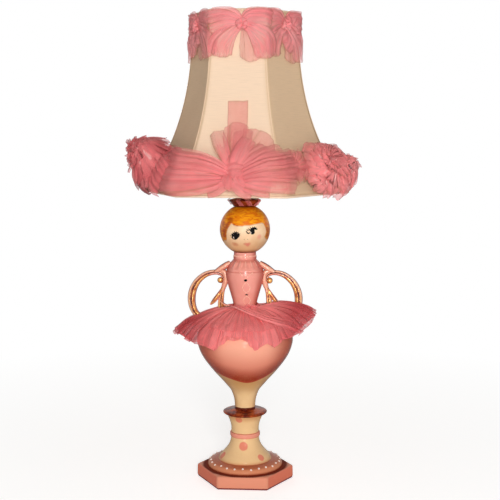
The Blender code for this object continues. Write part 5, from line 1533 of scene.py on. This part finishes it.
FRONT_HEM_LEAVES = (
    # path, pleats, depth, (fullness at the root, at the end), crown
    (((0, 22, 6, 3), (1.5, 55, 11.5, 4), (2.8, 82, 12.6, 3), (2.3, 118, 12.4, 2)), 1, 0.5, (0.06, 0.0), 0.0),
    (((3, 22, 5, 5), (14, 44, 17, 9), (26, 62, 27, 9), (36, 78, 30, 6)), 4, 0.9, (0.5, 0.0), 0.60),
    (((0, 22, 4, 6), (2, 46, 12, 8), (3, 70, 18, 8), (4, 90, 19, 5)), 3, 0.7, (0.4, 0.0), 0.60),
    (((-1, 24, 4, 10), (-9, 44, 8, 17), (-16, 59, 10.5, 18), (-23, 76, 9.5, 13)), 2, 1.4, (0.85, 0.10), 0.10),
    (((1, 22, 5, 12), (7, 38, 10, 21), (13, 52, 11, 22), (19, 66, 10, 16)), 2, 1.5, (0.9, 0.45), 0.10),
    (((3, 20, 6, 10), (18, 34, 10, 19), (32, 46, 12, 19), (42, 55, 12, 12)), 4, 1.6, (0.75, 0.12), 0.1),
    (((3, 19, 6, 10), (24, 31, 11, 20), (42, 42, 13, 21), (57, 52, 13, 13)), 4, 1.7, (0.75, 0.12), 0.1),
    (((3, 18, 6, 11), (26, 27, 12, 21), (50, 35, 14, 22), (72, 42, 14, 14)), 4, 1.8, (0.72, 0.12), 0.1),
    (((3, 17, 6, 11), (28, 21, 12, 20), (54, 25, 14, 21), (80, 30, 14, 15)), 4, 1.9, (0.72, 0.12), 0.1),
    (((3, 16, 6, 10), (28, 14, 11, 18), (54, 13, 12, 18), (78, 13, 12, 12)), 4, 1.8, (0.9, 0.30), 0.1),
    (((2, 17, 6, 10), (18, 12, 10, 15), (34, 9, 11, 15), (50, 8, 11, 10)), 3, 1.4, (0.9, 0.40), 0.1),
    (
        ((-2, 22, 8, 11), (-26, 23, 18, 20), (-62, 25, 25, 22), (-92, 29, 28, 20), (-118, 37, 22, 18)),
        6, 2.2, (0.9, 0.35), 0.1,
    ),
    (((-2, 23, 6, 13), (-24, 30, 11, 22), (-52, 36, 15, 25), (-84, 42, 16, 21)), 4, 1.8, (0.9, 0.10), 0.3),
    (((-2, 17, 6, 10), (-22, 11, 9, 16), (-50, 9, 11, 18), (-84, 10, 11, 14)), 3, 1.5, (0.9, 0.35), 0.1),
    (((0, 20, 7, 12), (-8, 14, 11, 15), (-18, 10, 12, 14), (-30, 9, 12, 9)), 3, 1.2, (0.95, 0.5), 0.2),
    (((2, 20, 7, 13), (10, 14, 12, 16), (18, 10, 13, 15), (28, 10, 13, 10)), 3, 1.2, (0.95, 0.5), 0.2),
    (((-8, 27, 9, 12), (0, 29, 15, 18), (10, 29, 17, 19), (22, 27, 13, 14)), 4, 1.4, (0.95, 0.3), 0.4),
    (((-1, 24, 6, 13), (-2, 14, 11, 17), (-3, 4, 13, 14)), 3, 1.3, (0.9, 0.45), 0.5),
    (((1, 24, 6, 13), (5, 14, 11, 17), (10, 4, 13, 14)), 3, 1.3, (0.9, 0.45), 0.5),
)


def make_hem_garland(finish, shaded):
    """Six bows of net along the rim: spread leaves in front, rosettes beside them and both at the back.

    The bow to the left of the front is made of the shaded net, a darker copy of the net: painted shade.
    """
    lay = shade_lay(0, SHADE_LOW)
    bows = {"front": []}
    for k, (path, pleats, depth, full, crown) in enumerate(FRONT_HEM_LEAVES):
        bows["front"].append(leaf(lay, path, pleats, depth, k + 3, full, crown, 0.4))

    lay = shade_lay(1, SHADE_LOW)
    bows["front_right"] = [
        rosette(lay, (22, 30), (30, 36, 43, 46, 44, 38, 32, 36, 42, 43, 38, 32), 38, 51, (-22, 2)),
        rosette(lay, (0, 12), (13, 18, 22, 20, 13, 18, 22, 18), 25, 52, (-4, 2), 3.2, 8, 3.0),
        rosette(lay, (42, 22), (22, 26, 28, 26, 22, 24, 26, 24), 38, 53, (6, 0), 3.2, 8, 4.0),
    ]
    lifts = (5, 13, 16, 9)
    bows["front_right"] += frills(lay, (-38, 33), 28, 7, 54, lifts, 16, 20, 3, 1.4, 0.75, (0.5, 0.05), 18)

    lay = shade_lay(5, SHADE_LOW)
    low_leaf = ((12, 30, 12, 26), (25, 23, 19, 29), (37, 16, 21, 26), (46, 11, 20, 16))
    dense = (0.95, 0.6)
    bows["front_left"] = [
        rosette(lay, (-22, 33), (29, 34, 44, 50, 48, 33, 22, 24, 38, 47, 40, 32), 61, 61, (14, 0)),
        rosette(lay, (-38, 22), (18, 22, 26, 24, 15, 17, 26, 26), 50, 62, (10, 0), 3.2, 8, 4.0),
        rosette(lay, (22, 27), (26, 30, 34, 28, 20, 25, 36, 32), 26, 63, (2, 0), 4.0, 9, 4.0, full=dense),
        rosette(lay, (-34, 43), (15, 20, 26, 24, 20, 24, 28, 21), 47, 64, (6, -4), 3.2, 8, 4.0),
        leaf(lay, low_leaf, 6, 2.0, 65, (0.95, 0.85), 0.2, 0.3),
    ]

    for side, place in ((2, "back_right"), (3, "back"), (4, "back_left")):
        lay = shade_lay(side, SHADE_LOW)
        seed = 70 + 5 * side
        rng = np.random.default_rng(seed)
        leaves = []
        for way in (-1, 1):
            for k in range(3):
                up, far = 19 + 10 * k + rng.uniform(-2, 2), 70 + rng.uniform(-8, 10)
                path = [(way * 2, 22, 7, 9), (way * 24, mix(22, up, 0.5), 15, 22)]
                path += [(way * 50, up, 17, 24), (way * far, up + 2, 18, 14)]
                leaves.append(leaf(lay, path, 4, 2.0, seed + k * 2 + way, (0.9, 0.3), 0.2, 0.5))
        for heading, far in ((-34, 48), (-6, 52), (20, 56), (46, 48)):
            angle = math.radians(heading + rng.uniform(-6, 6))
            path = [
                (far * share * math.sin(angle), 20 + far * share * math.cos(angle), broad, lift)
                for share, broad, lift in ((0.05, 6, 9), (0.4, 13, 18), (0.75, 17, 17), (1.0, 15, 9))
            ]
            leaves.append(leaf(lay, path, 3, 1.6, seed + heading, (0.9, 0.1), 0.35, 0.3))
        leaves.append(rosette(lay, (0, 27), (28, 32, 36, 32, 27, 32, 36, 32), 31, seed, (0, 0), 3.0))
        bows[place] = leaves

    for place, leaves in bows.items():
        chosen = shaded if place == "front_left" else finish
        made_from, panel = [f"hem_bow_{place}"], [f"shade_panel_{place}"]
        make_tulle(f"hem_tulle_{place}", leaves, chosen, "shade", made_from)


# The front top bow is pinched this far to the right of its panel's middle, in mm.
KNOT_ACROSS = 6
FRONT_TOP_LEAVES = (
    (((-1, -17, 5, 4), (-12, -13, 10, 7), (-24, -14, 15, 8), (-36, -18, 17, 6)), 4, 1.2, (0.85, 0.45), 0.1),
    (((-1, -19, 5, 4), (-10, -26, 9, 6), (-21, -41, 15, 7), (-24, -60, 16, 5)), 4, 1.1, (0.85, 0.5), 0.4),
    (((1, -17, 5, 4), (12, -12, 10, 7), (26, -13, 15, 8), (42, -18, 17, 6)), 4, 1.2, (0.85, 0.45), 0.1),
    (((2, -20, 4, 3), (9, -32, 10, 5), (15, -48, 15, 6), (17, -66, 15, 4)), 3, 0.6, (0.15, 0.0), 0.5),
    (((2, -19, 5, 4), (16, -25, 10, 7), (31, -40, 16, 8), (38, -62, 15, 5)), 4, 1.1, (0.85, 0.40), 0.4),
    (((-1, -14, 4, 4), (-9, -7, 8, 6), (-20, -6, 9, 6), (-32, -7, 9, 5)), 3, 1.0, (0.9, 0.75), 0.1),
    (((1, -14, 4, 4), (10, -7, 8, 6), (22, -6, 9, 6), (34, -8, 9, 5)), 3, 1.0, (0.85, 0.5), 0.1),
)


def make_top_garland(finish):
    """Six flatter bows of net round the top of the shade."""
    for side, place in enumerate(SIDES):
        lay = shade_lay(side, SHADE_TOP)
        seed = 200 + 9 * side
        rng = np.random.default_rng(seed)
        leaves = []
        for k, (path, pleats, depth, full, crown) in enumerate(FRONT_TOP_LEAVES):
            if side:
                drift = rng.uniform(0.85, 1.1)
                flatter = 0.75 if side % 3 else 1
                path = [(a * drift, u * rng.uniform(0.94, 1.06), w, o * flatter) for a, u, w, o in path]
            else:
                path = [(a + KNOT_ACROSS * (1 - step / 3), u, w, o) for step, (a, u, w, o) in enumerate(path)]
            leaves.append(leaf(lay, path, pleats, depth, seed + k, full, crown, 0.4))
        knot = 0 if side else KNOT_ACROSS
        leaves += frills(lay, (knot, -18), 8, 5, seed + 8, (4, 7, 9, 8), 5.5, 0, 2, 1.0, 0.9, (0.95, 0.7))
        if side in (1, 5):
            way = 1 if side == 1 else -1
            middle, lifts = (way * 14, -26), (2.5, 5, 6, 3.5)
            leaves += frills(lay, middle, 24, 7, seed + 5, lifts, 13, 0, 3, 1.3, 1.0, (0.9, 0.45))
        made_from, panel = [f"top_bow_{place}"], [f"shade_panel_{place}"]
        make_tulle(f"top_tulle_{place}", leaves, finish, "shade", made_from)


# The tutu. A profile is (radius, height) from the waist to the hem, at the front and at each hip.

SKIRT_DEPTH = 0.075
SKIRT_STEPS = 60
SKIRT_FRONT = (
    (0.0190, 0.2385), (0.035, 0.2335), (0.050, 0.2255), (0.060, 0.2165), (0.067, 0.2045), (0.070, 0.1920),
)
SKIRT_LEFT = ((0.0190, 0.2385), (0.040, 0.2340), (0.060, 0.2260), (0.078, 0.2170), (0.0930, 0.2040))
SKIRT_RIGHT = ((0.0190, 0.2385), (0.040, 0.2430), (0.060, 0.2430), (0.080, 0.2380), (0.0975, 0.2280))
HANDLE_ROOM = 0.0078


def along_profile(given, at):
    """Radius and height at steps along a skirt profile, which runs straight on past its hem."""
    past = np.clip(at - SKIRT_STEPS, 0, 9)
    lines = through(given, SKIRT_STEPS).T
    return [np.interp(at, np.arange(SKIRT_STEPS + 1), line) + past * (line[-1] - line[-2]) for line in lines]


def on_skirt(angle, share, out):
    """Points on the skirt: degrees round from the front, share of the way to the hem, and height off it."""
    turn = np.radians(angle)
    to_left = turn % TURN > math.pi
    hip = np.where(to_left, np.sin(turn) ** 2, np.sin(turn) ** 4)
    at = np.clip(share, 0, 1.06) * SKIRT_STEPS
    front, left, right = (along_profile(given, at) for given in (SKIRT_FRONT, SKIRT_LEFT, SKIRT_RIGHT))
    hem = [np.where(to_left, left[k], right[k]) * hip + front[k] * (1 - hip) for k in (0, 1)]
    ahead = [np.gradient(part, axis=0) for part in hem]
    size = np.hypot(*ahead) + 1e-9
    radius, height = hem[0] - ahead[1] / size * out, hem[1] + ahead[0] / size * out
    x, y = radius * np.sin(turn), -radius * np.cos(turn)
    return x, y, height


FRONT_HEM = (
    # degrees round from the front, share of the skirt's depth where the net ends
    (-90, 1.00), (-60, 1.00), (-45, 1.03), (-36, 1.02), (-28, 1.05), (-21, 0.88),
    (-16, 0.79), (4, 0.79), (8, 0.86), (15, 1.01), (21, 0.95), (27, 0.90),
    (36, 1.05), (43, 0.96), (50, 1.00), (62, 1.02), (75, 1.00), (90, 1.00),
)


def skirt_layer(back, start, end, low, high, pleats, depth, lift, seed, jag=0.04, full=(0.8, 0.25)):
    """One gathered layer of net between two angles and two shares of the skirt's depth."""
    rng = np.random.default_rng(seed)
    columns = int(pleats * 9)
    rows = int(max(12, 34 * (high - low)))
    across = np.linspace(-1, 1, columns + 1)[None, :]
    along = np.linspace(0, 1, rows + 1)[:, None]
    wave, push = pleat_waves(rng, across, pleats, along * 0.4)
    angle = mix(start, end, (across + push * (0.3 + 0.7 * along) + 1) / 2)
    teeth = rng.uniform(-1, 1, int(abs(end - start) / 9) + 3)
    tooth = np.interp((across + 1) / 2 * (len(teeth) - 1), np.arange(len(teeth)), teeth)
    cut = 1 if back or high < 0.8 else np.interp(mix(start, end, (across + 1) / 2), *zip(*FRONT_HEM))
    share = mix(low, high * cut + jag * tooth, along)
    soft = crumple(rng, across * 0.12, along * 0.07, 0.014)
    swell = depth * (0.30 + 0.70 * along) * wave + 0.0016 * soft * along
    x, y, z = on_skirt(angle + 0 * along, share, lift * (0.2 + 0.8 * along) + swell)
    y = -np.sqrt(y**2 + HANDLE_ROOM**2)
    points = np.stack([x, -y if back else y, z], -1)
    width = np.radians(abs(end - start)) * 0.08
    cloth = np.stack([across * width / 2 + 0 * along, share * SKIRT_DEPTH + 0 * across], -1)
    # Hollows of the pleats: where shade is painted on the net.
    hollow = np.clip(-wave, 0, 1) ** 2 * (0.25 + 0.35 * (1 - along))
    hem = eased_array((along - 0.96) / 0.03)
    fold = np.clip(hollow + 0.5 * hem, 0, 1)
    fullness = full[0] + (full[1] - full[0]) * eased_array(along * 1.2) + 0.12 * np.clip(wave, 0, 1)
    return grid_mesh(points, cloth, {"fold": fold, "full": np.clip(fullness, 0, 1)}), cut_area(points)


def make_tutu(finish):
    """Two half skirts in layers, cut to pass before and behind the handles, and a sash across the front."""
    front = [
        skirt_layer(False, -90, 90, 0.0, 1.00, 17, 0.0026, 0.0000, 301, 0.03, (0.85, 0.60)),
        skirt_layer(False, -90, 90, 0.0, 0.96, 15, 0.0024, 0.0022, 302, 0.04, (0.90, 0.55)),
        skirt_layer(False, -42, 52, 0.0, 0.66, 8, 0.0014, 0.0044, 303, 0.02, (0.92, 0.35)),
        skirt_layer(False, 44, 90, 0.0, 0.98, 7, 0.0024, 0.0056, 304, 0.05, (0.9, 0.50)),
        skirt_layer(False, -90, -50, 0.1, 1.00, 5, 0.0026, 0.0048, 305, 0.05, (0.9, 0.50)),
    ]

    def on_front(across, up, out):
        angle = np.array([[math.degrees(across / 0.060)]] * 2)
        share = np.array([[up / SKIRT_DEPTH], [up / SKIRT_DEPTH + 0.01]])
        x, y, z = on_skirt(angle, share, out)
        return x[0, 0], -math.hypot(y[0, 0], HANDLE_ROOM), z[0, 0]

    sash = [(-46, 2, 3, 4), (-28, 4, 4, 6), (-8, 9, 5, 7), (18, 21, 5, 8)]
    sash += [(40, 38, 5, 8), (54, 56, 6, 7), (62, 74, 6, 6)]
    front.append(leaf(on_front, sash, 2, 1.2, 306, (0.85, 0.45), 0.1, 0.2, 1.4))
    # The welt is a tight roll; its pale colour is a painted highlight.
    welt = [(across, up + 5, 1.6, out + 1.0) for across, up, _, out in sash]
    front.append(leaf(on_front, welt, 1, 0.5, 307, (1.0, 0.93), 0.1, 0.0, 1.2))
    back = [
        skirt_layer(True, -90, 90, 0.0, 0.98, 19, 0.0026, 0.0000, 311, 0.05),
        skirt_layer(True, -90, 90, 0.0, 0.92, 17, 0.0024, 0.0022, 312, 0.06),
        skirt_layer(True, -60, 60, 0.0, 0.70, 12, 0.0018, 0.0044, 313, 0.03, (0.85, 0.15)),
    ]
    make_tulle("tutu_tulle_front", front, finish, "stand", ["tutu_front"])
    make_tulle("tutu_tulle_back", back, finish, "stand", ["tutu_back"])


def make_waist(finish):
    """A twisted band of net round the waist, with a tuft where it is tied at the right hip."""
    low, high = span("waist_ribbon")
    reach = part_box("waist_ribbon")[1][0]
    columns, rows = 150, 26
    turn = np.linspace(0, TURN, columns + 1)[None, :]
    around = np.linspace(0, TURN, rows + 1)[:, None]
    fold = 0.16 * np.sin(5 * around - 9 * turn) + 0.10 * np.sin(3 * around + 5 * turn + 1)
    thick, tall = 0.0014 * (1 + fold), (high - low) * 0.46 * (1 + 0.5 * fold)
    level = (low + high) / 2 + tall * np.sin(around) + 0.0008 * np.sin(turn - 0.6)
    radius = reach - 0.0010 + thick * np.cos(around)
    points = np.stack([radius * np.sin(turn), -radius * np.cos(turn), level], -1)
    cloth = np.stack([turn * reach + 0 * around, around * 0.0045 + 0 * turn], -1)
    # Hollows of the twist: where shade is painted on the net.
    hollow = np.clip(-fold / 0.2, 0, 1) * 0.8
    band = grid_mesh(points, cloth, {"fold": hollow, "full": 0.75 + 0 * points[..., 0]}), cut_area(points)

    def at_hip(across, up, out):
        angle = math.radians(24) + across / reach
        level = (low + high) / 2 + up
        away = reach + out
        return (away * math.sin(angle), -away * math.cos(angle), level)

    tuft = frills(at_hip, (0, -1), 11, 6, 81, (1, 3, 5, 6), 5, 30, 2, 0.9, 0.55, (0.8, 0.3))
    make_tulle("waist_band", [band, *tuft], finish, "stand", ["waist_ribbon"], NARROW_STRIP)


def make_crown(lustre, finish):
    """The flared lustre crown on the head, and the strands of net that are wound over it."""
    low, high = span("crown_cap")
    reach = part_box("crown_cap")[1][0]
    tall = high - low
    rim = [
        (HEAD_RADIUS * 0.458, low), (mix(0.0156, reach, 0.35), low + tall * 0.28),
        (reach - 0.0009, low + tall * 0.55), (reach, low + tall * 0.64), (reach - 0.0007, low + tall * 0.73),
        (mix(0.0085, reach, 0.60), low + tall * 0.82), (mix(0.0085, reach, 0.25), low + tall * 0.92),
        (0.0097, high),
    ]
    cap = [(PIPE_BORE, low), *rounded(rim), (PIPE_BORE, high)]
    settle("lustre_crown", turned("lustre_crown", cap, 96), "stand", [lustre], ["crown_cap"])

    def strand(start, turned_by, broad, seed):
        """A strand from the post over the rim of the crown and down its side."""
        profile = [(0.0100, high + 0.0030), (0.0150, high + 0.0006), (reach + 0.0012, low + tall * 0.70)]
        profile += [(reach - 0.0006, low + tall * 0.40), (0.0190, low + tall * 0.12)]
        line = through(profile, 22)
        rng = np.random.default_rng(seed)
        share = np.linspace(-1, 1, 15)[None, :]
        along = np.linspace(0, 1, len(line))[:, None]
        spread = share * broad / 0.018 * (0.5 + 0.5 * along)
        angle = math.radians(start) + math.radians(turned_by) * along + spread
        wave = np.sin(share * 7 + rng.uniform(0, TURN) + along)
        radius = line[:, 0:1] + 0.0006 + 0.0006 * wave
        points = np.stack([radius * np.sin(angle), -radius * np.cos(angle), line[:, 1:2] + 0 * angle], -1)
        cloth = np.stack([share * broad * 1.5 + 0 * along, along * 0.024 + 0 * share], -1)
        # Hollows of the strand's waves: where shade is painted on the net.
        fold = np.clip(-wave, 0, 1) * 0.7
        return grid_mesh(points, cloth, {"fold": fold, "full": 0.25 + 0.2 * wave}), cut_area(points)

    strands = []
    for k in range(8):
        strands.append(strand(k * 45 + 18 * math.sin(k * 2.1), 26 * math.cos(k * 1.7), 0.0034, 90 + k))
    wound_low, wound_high = span("crown_tulle")
    around = np.linspace(0, TURN, 19)[:, None]
    turn = np.linspace(0, TURN, 73)[None, :]
    fold = 0.2 * np.sin(4 * around + 7 * turn)
    radius = 0.0108 + 0.0022 * (1 + fold) * np.cos(around)
    swell = (wound_high - wound_low) * 0.46 * np.sin(around) * (1 + 0.4 * fold)
    level = (wound_low + wound_high) / 2 + swell
    points = np.stack([radius * np.sin(turn), -radius * np.cos(turn), level + 0 * turn], -1)
    cloth = np.stack([turn * 0.013 + 0 * around, around * 0.003 + 0 * turn], -1)
    # Hollows of the wound net: where shade is painted.
    hollow = np.clip(-fold / 0.2, 0, 1) * 0.8
    wound = grid_mesh(points, cloth, {"fold": hollow, "full": 0.7 + 0 * points[..., 0]}), cut_area(points)
    wreath = [wound, *strands]
    make_tulle("crown_wreath", wreath, finish, "stand", ["crown_tulle"], NARROW_STRIP)


# Hardware: the CAD nodes keep their shape and get their metals, plastics, card, felt and glass.


def metal(name, bright, dull, rough, brushed_along=None, grain=300):
    """Metal with handling marks; brushed_along stretches its grain along one axis."""
    recipe = Recipe(name)
    scale = [grain] * 3
    if brushed_along is not None:
        scale[brushed_along] = grain / 14
    marks = recipe.mottle(1.0, 4, recipe.stretched(tuple(scale)), 0.6)
    tarnish = recipe.mottle(70, 4, rough=0.6)
    recipe.set(
        {
            "base_color": recipe.blend(tarnish.between(0.38, 0.68), bright, dull),
            "metallic": 1.0,
            "roughness": rough + 0.22 * marks * tarnish,
            "normal": recipe.relief(marks, 0.0001, 0.4),
        }
    )
    return recipe.material


def moulded(name, low, high, rough, grain=700):
    recipe = Recipe(name)
    speck = recipe.mottle(grain, 3)
    recipe.set(
        {
            "base_color": recipe.blend(speck.between(0.35, 0.7), low, high),
            "roughness": rough + 0.2 * speck,
            "normal": recipe.relief(speck, 0.0002, 0.4),
        }
    )
    return recipe.material


def frosted_glass():
    recipe = Recipe("frosted_glass")
    haze = recipe.mottle(120, 3)
    recipe.set(
        {
            "base_color": recipe.blend(haze, colour(250, 249, 244), colour(236, 236, 230)),
            "roughness": 0.22 + 0.16 * haze,
            "transmission_weight": 0.25,
            "ior": 1.5,
        }
    )
    return recipe.material


def finish_hardware():
    """Gives each CAD node that stays its metal, plastic, card, felt or glass."""
    brass = metal("lacquered_brass", colour(226, 190, 120), colour(190, 148, 82), 0.16, 2)
    steel = metal("zinc_steel", colour(196, 198, 202), colour(164, 166, 172), 0.28)
    aluminium = metal("spun_aluminium", colour(220, 221, 224), colour(196, 198, 202), 0.24, 0)
    phenolic = moulded("black_phenolic", colour(22, 20, 19), colour(44, 40, 37), 0.30)
    card = moulded("fibre_card", colour(120, 96, 68), colour(150, 122, 90), 0.75, 500)
    felt = moulded("wool_felt", colour(110, 40, 46), colour(146, 62, 68), 0.85, 1200)
    glass = frosted_glass()
    finishes = {
        felt: ("felt_pad",),
        phenolic: ("cord_bushing", "switch_block", "switch_knob"),
        steel: ("pipe_washer", "pipe_nut", "lamp_pipe"),
        card: ("socket_sleeve",),
        aluminium: ("screw_shell", "bulb_cap"),
        brass: (
            "crown_spacer", "harp_saddle", "harp_wire", "harp_seat", "ferrule_left", "ferrule_right",
            "socket_cap", "socket_shell", "centre_contact", "switch_stem",
            "shade_frame", "shade_spider", "finial",
        ),
        glass: ("bulb_glass",),
    }
    for finish, nodes in finishes.items():
        for node in nodes:
            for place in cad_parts[node].material_slots:
                place.material = finish


# Studio.


def make_world():
    """A dim warm light from all round, which looks plain white wherever it is seen or mirrored."""
    world = bpy.data.worlds.new("studio")
    bpy.context.scene.world = world
    tree = ShaderTree(world)
    kinds = ("Camera", "Glossy", "Transmission")
    straight, mirrored, through_glass = (
        tree.node("ShaderNodeLightPath", output=f"Is {kind} Ray") for kind in kinds
    )
    seen = straight.at_least(mirrored).at_least(through_glass)
    soft = tree.node("ShaderNodeBackground", inputs={"Color": (1, 0.95, 0.89, 1), "Strength": 0.24})
    white = tree.node("ShaderNodeBackground", inputs={"Color": (1, 1, 1, 1)})
    shown = tree.node("ShaderNodeMixShader", inputs={0: seen, 1: soft, 2: white})
    tree.end("ShaderNodeOutputWorld", shown)


def white_paper():
    """Paper that takes the lamp's shadow, and brightens away from it until it is as white as the world."""
    paper = bpy.data.materials.new("white_paper")
    tree = ShaderTree(paper)
    place = tree.node("ShaderNodeTexCoord", output="Object")
    away = tree.node("ShaderNodeVectorMath", {"operation": "LENGTH"}, {0: place}, "Value")
    fade = tree.node("ShaderNodeMapRange", inputs={"Value": away, "From Min": 0.25, "From Max": 0.90})
    matte = tree.node("ShaderNodeBsdfDiffuse", inputs={"Color": (0.80, 0.80, 0.80, 1)})
    glow = tree.node("ShaderNodeEmission", inputs={"Strength": 0.58})
    bright = tree.node("ShaderNodeEmission", inputs={"Strength": 1.0})
    lit = tree.node("ShaderNodeAddShader", inputs={0: matte, 1: glow})
    near = tree.node("ShaderNodeMixShader", inputs={0: fade, 1: lit, 2: bright})
    seen = tree.node("ShaderNodeLightPath", output="Is Camera Ray")
    shown = tree.node("ShaderNodeMixShader", inputs={0: seen, 1: matte, 2: near})
    tree.end("ShaderNodeOutputMaterial", shown)
    return paper


def make_floor():
    floor = bpy.data.meshes.new("floor")
    floor.from_pydata([(-6, -6, 0), (6, -6, 0), (6, 6, 0), (-6, 6, 0)], [], [(0, 1, 2, 3)])
    floor.materials.append(white_paper())
    ground = bpy.data.objects.new("floor", floor)
    bpy.context.scene.collection.objects.link(ground)


def make_lights():
    """A broad key light in front, a small one for glints low down, a weak fill and one from behind."""
    for name, size, power, place, aim in (
        ("key_light", 0.55, 32, (0.28, -2.3, 0.80), (0, 0, 0.34)),
        ("glint_light", 0.035, 3.5, (0.06, -1.6, 0.10), (0, 0, 0.20)),
        ("fill_light", 1.6, 1.5, (1.8, -1.0, 0.9), (0, 0, 0.30)),
        ("back_light", 1.4, 10, (-0.5, 2.2, 1.3), (0, 0, 0.40)),
    ):
        lamp = bpy.data.lights.new(name, "AREA")
        lamp.size, lamp.energy = size, power
        holder = bpy.data.objects.new(name, lamp)
        holder.location = place
        holder.rotation_euler = (Vector(aim) - Vector(place)).to_track_quat("-Z", "Y").to_euler()
        holder.visible_glossy = name in ("key_light", "glint_light")
        bpy.context.scene.collection.objects.link(holder)


# Making the lamp.

bpy.context.scene.view_settings.view_transform = "Standard"
make_world()
make_floor()
make_lights()
lustre = copper_lustre()
make_foot()
make_collar(lustre)
make_hips()
make_bodice()
make_head()
make_face()
make_slip_trails()
scrollwork = gold_over_pink()
make_handle("handle_left", -1, scrollwork)
make_handle("handle_right", 1, scrollwork)
plain_satin = slubbed_satin()
# A darker copy of the satin for the slanting side panels: painted shade.
shaded_side_satin = slubbed_satin("shaded_side_satin", (224, 193, 158))
make_panels(plain_satin, shaded_side_satin, slubbed_satin("panel_lining", (244, 226, 200)))
garland_net = net(
    "garland_net", colour(255, 156, 154), colour(242, 126, 128), colour(208, 84, 94), patchy=0.22
)
# A darker copy of the net for the bow on the front left: painted shade.
shaded_net = net("shaded_net", colour(238, 130, 130), colour(216, 96, 100), colour(176, 62, 74))
make_hem_garland(garland_net, shaded_net)
top_net = net("top_net", colour(255, 176, 174), colour(254, 142, 146), colour(220, 94, 104), patchy=0.22)
make_top_garland(top_net)
tutu_net = net(
    "tutu_net", colour(255, 150, 148), colour(255, 134, 134), colour(244, 92, 100), shaded_flanks=colour(204, 74, 78)
)
make_tutu(tutu_net)
make_waist(tutu_net)
make_crown(lustre, tutu_net)
finish_hardware()
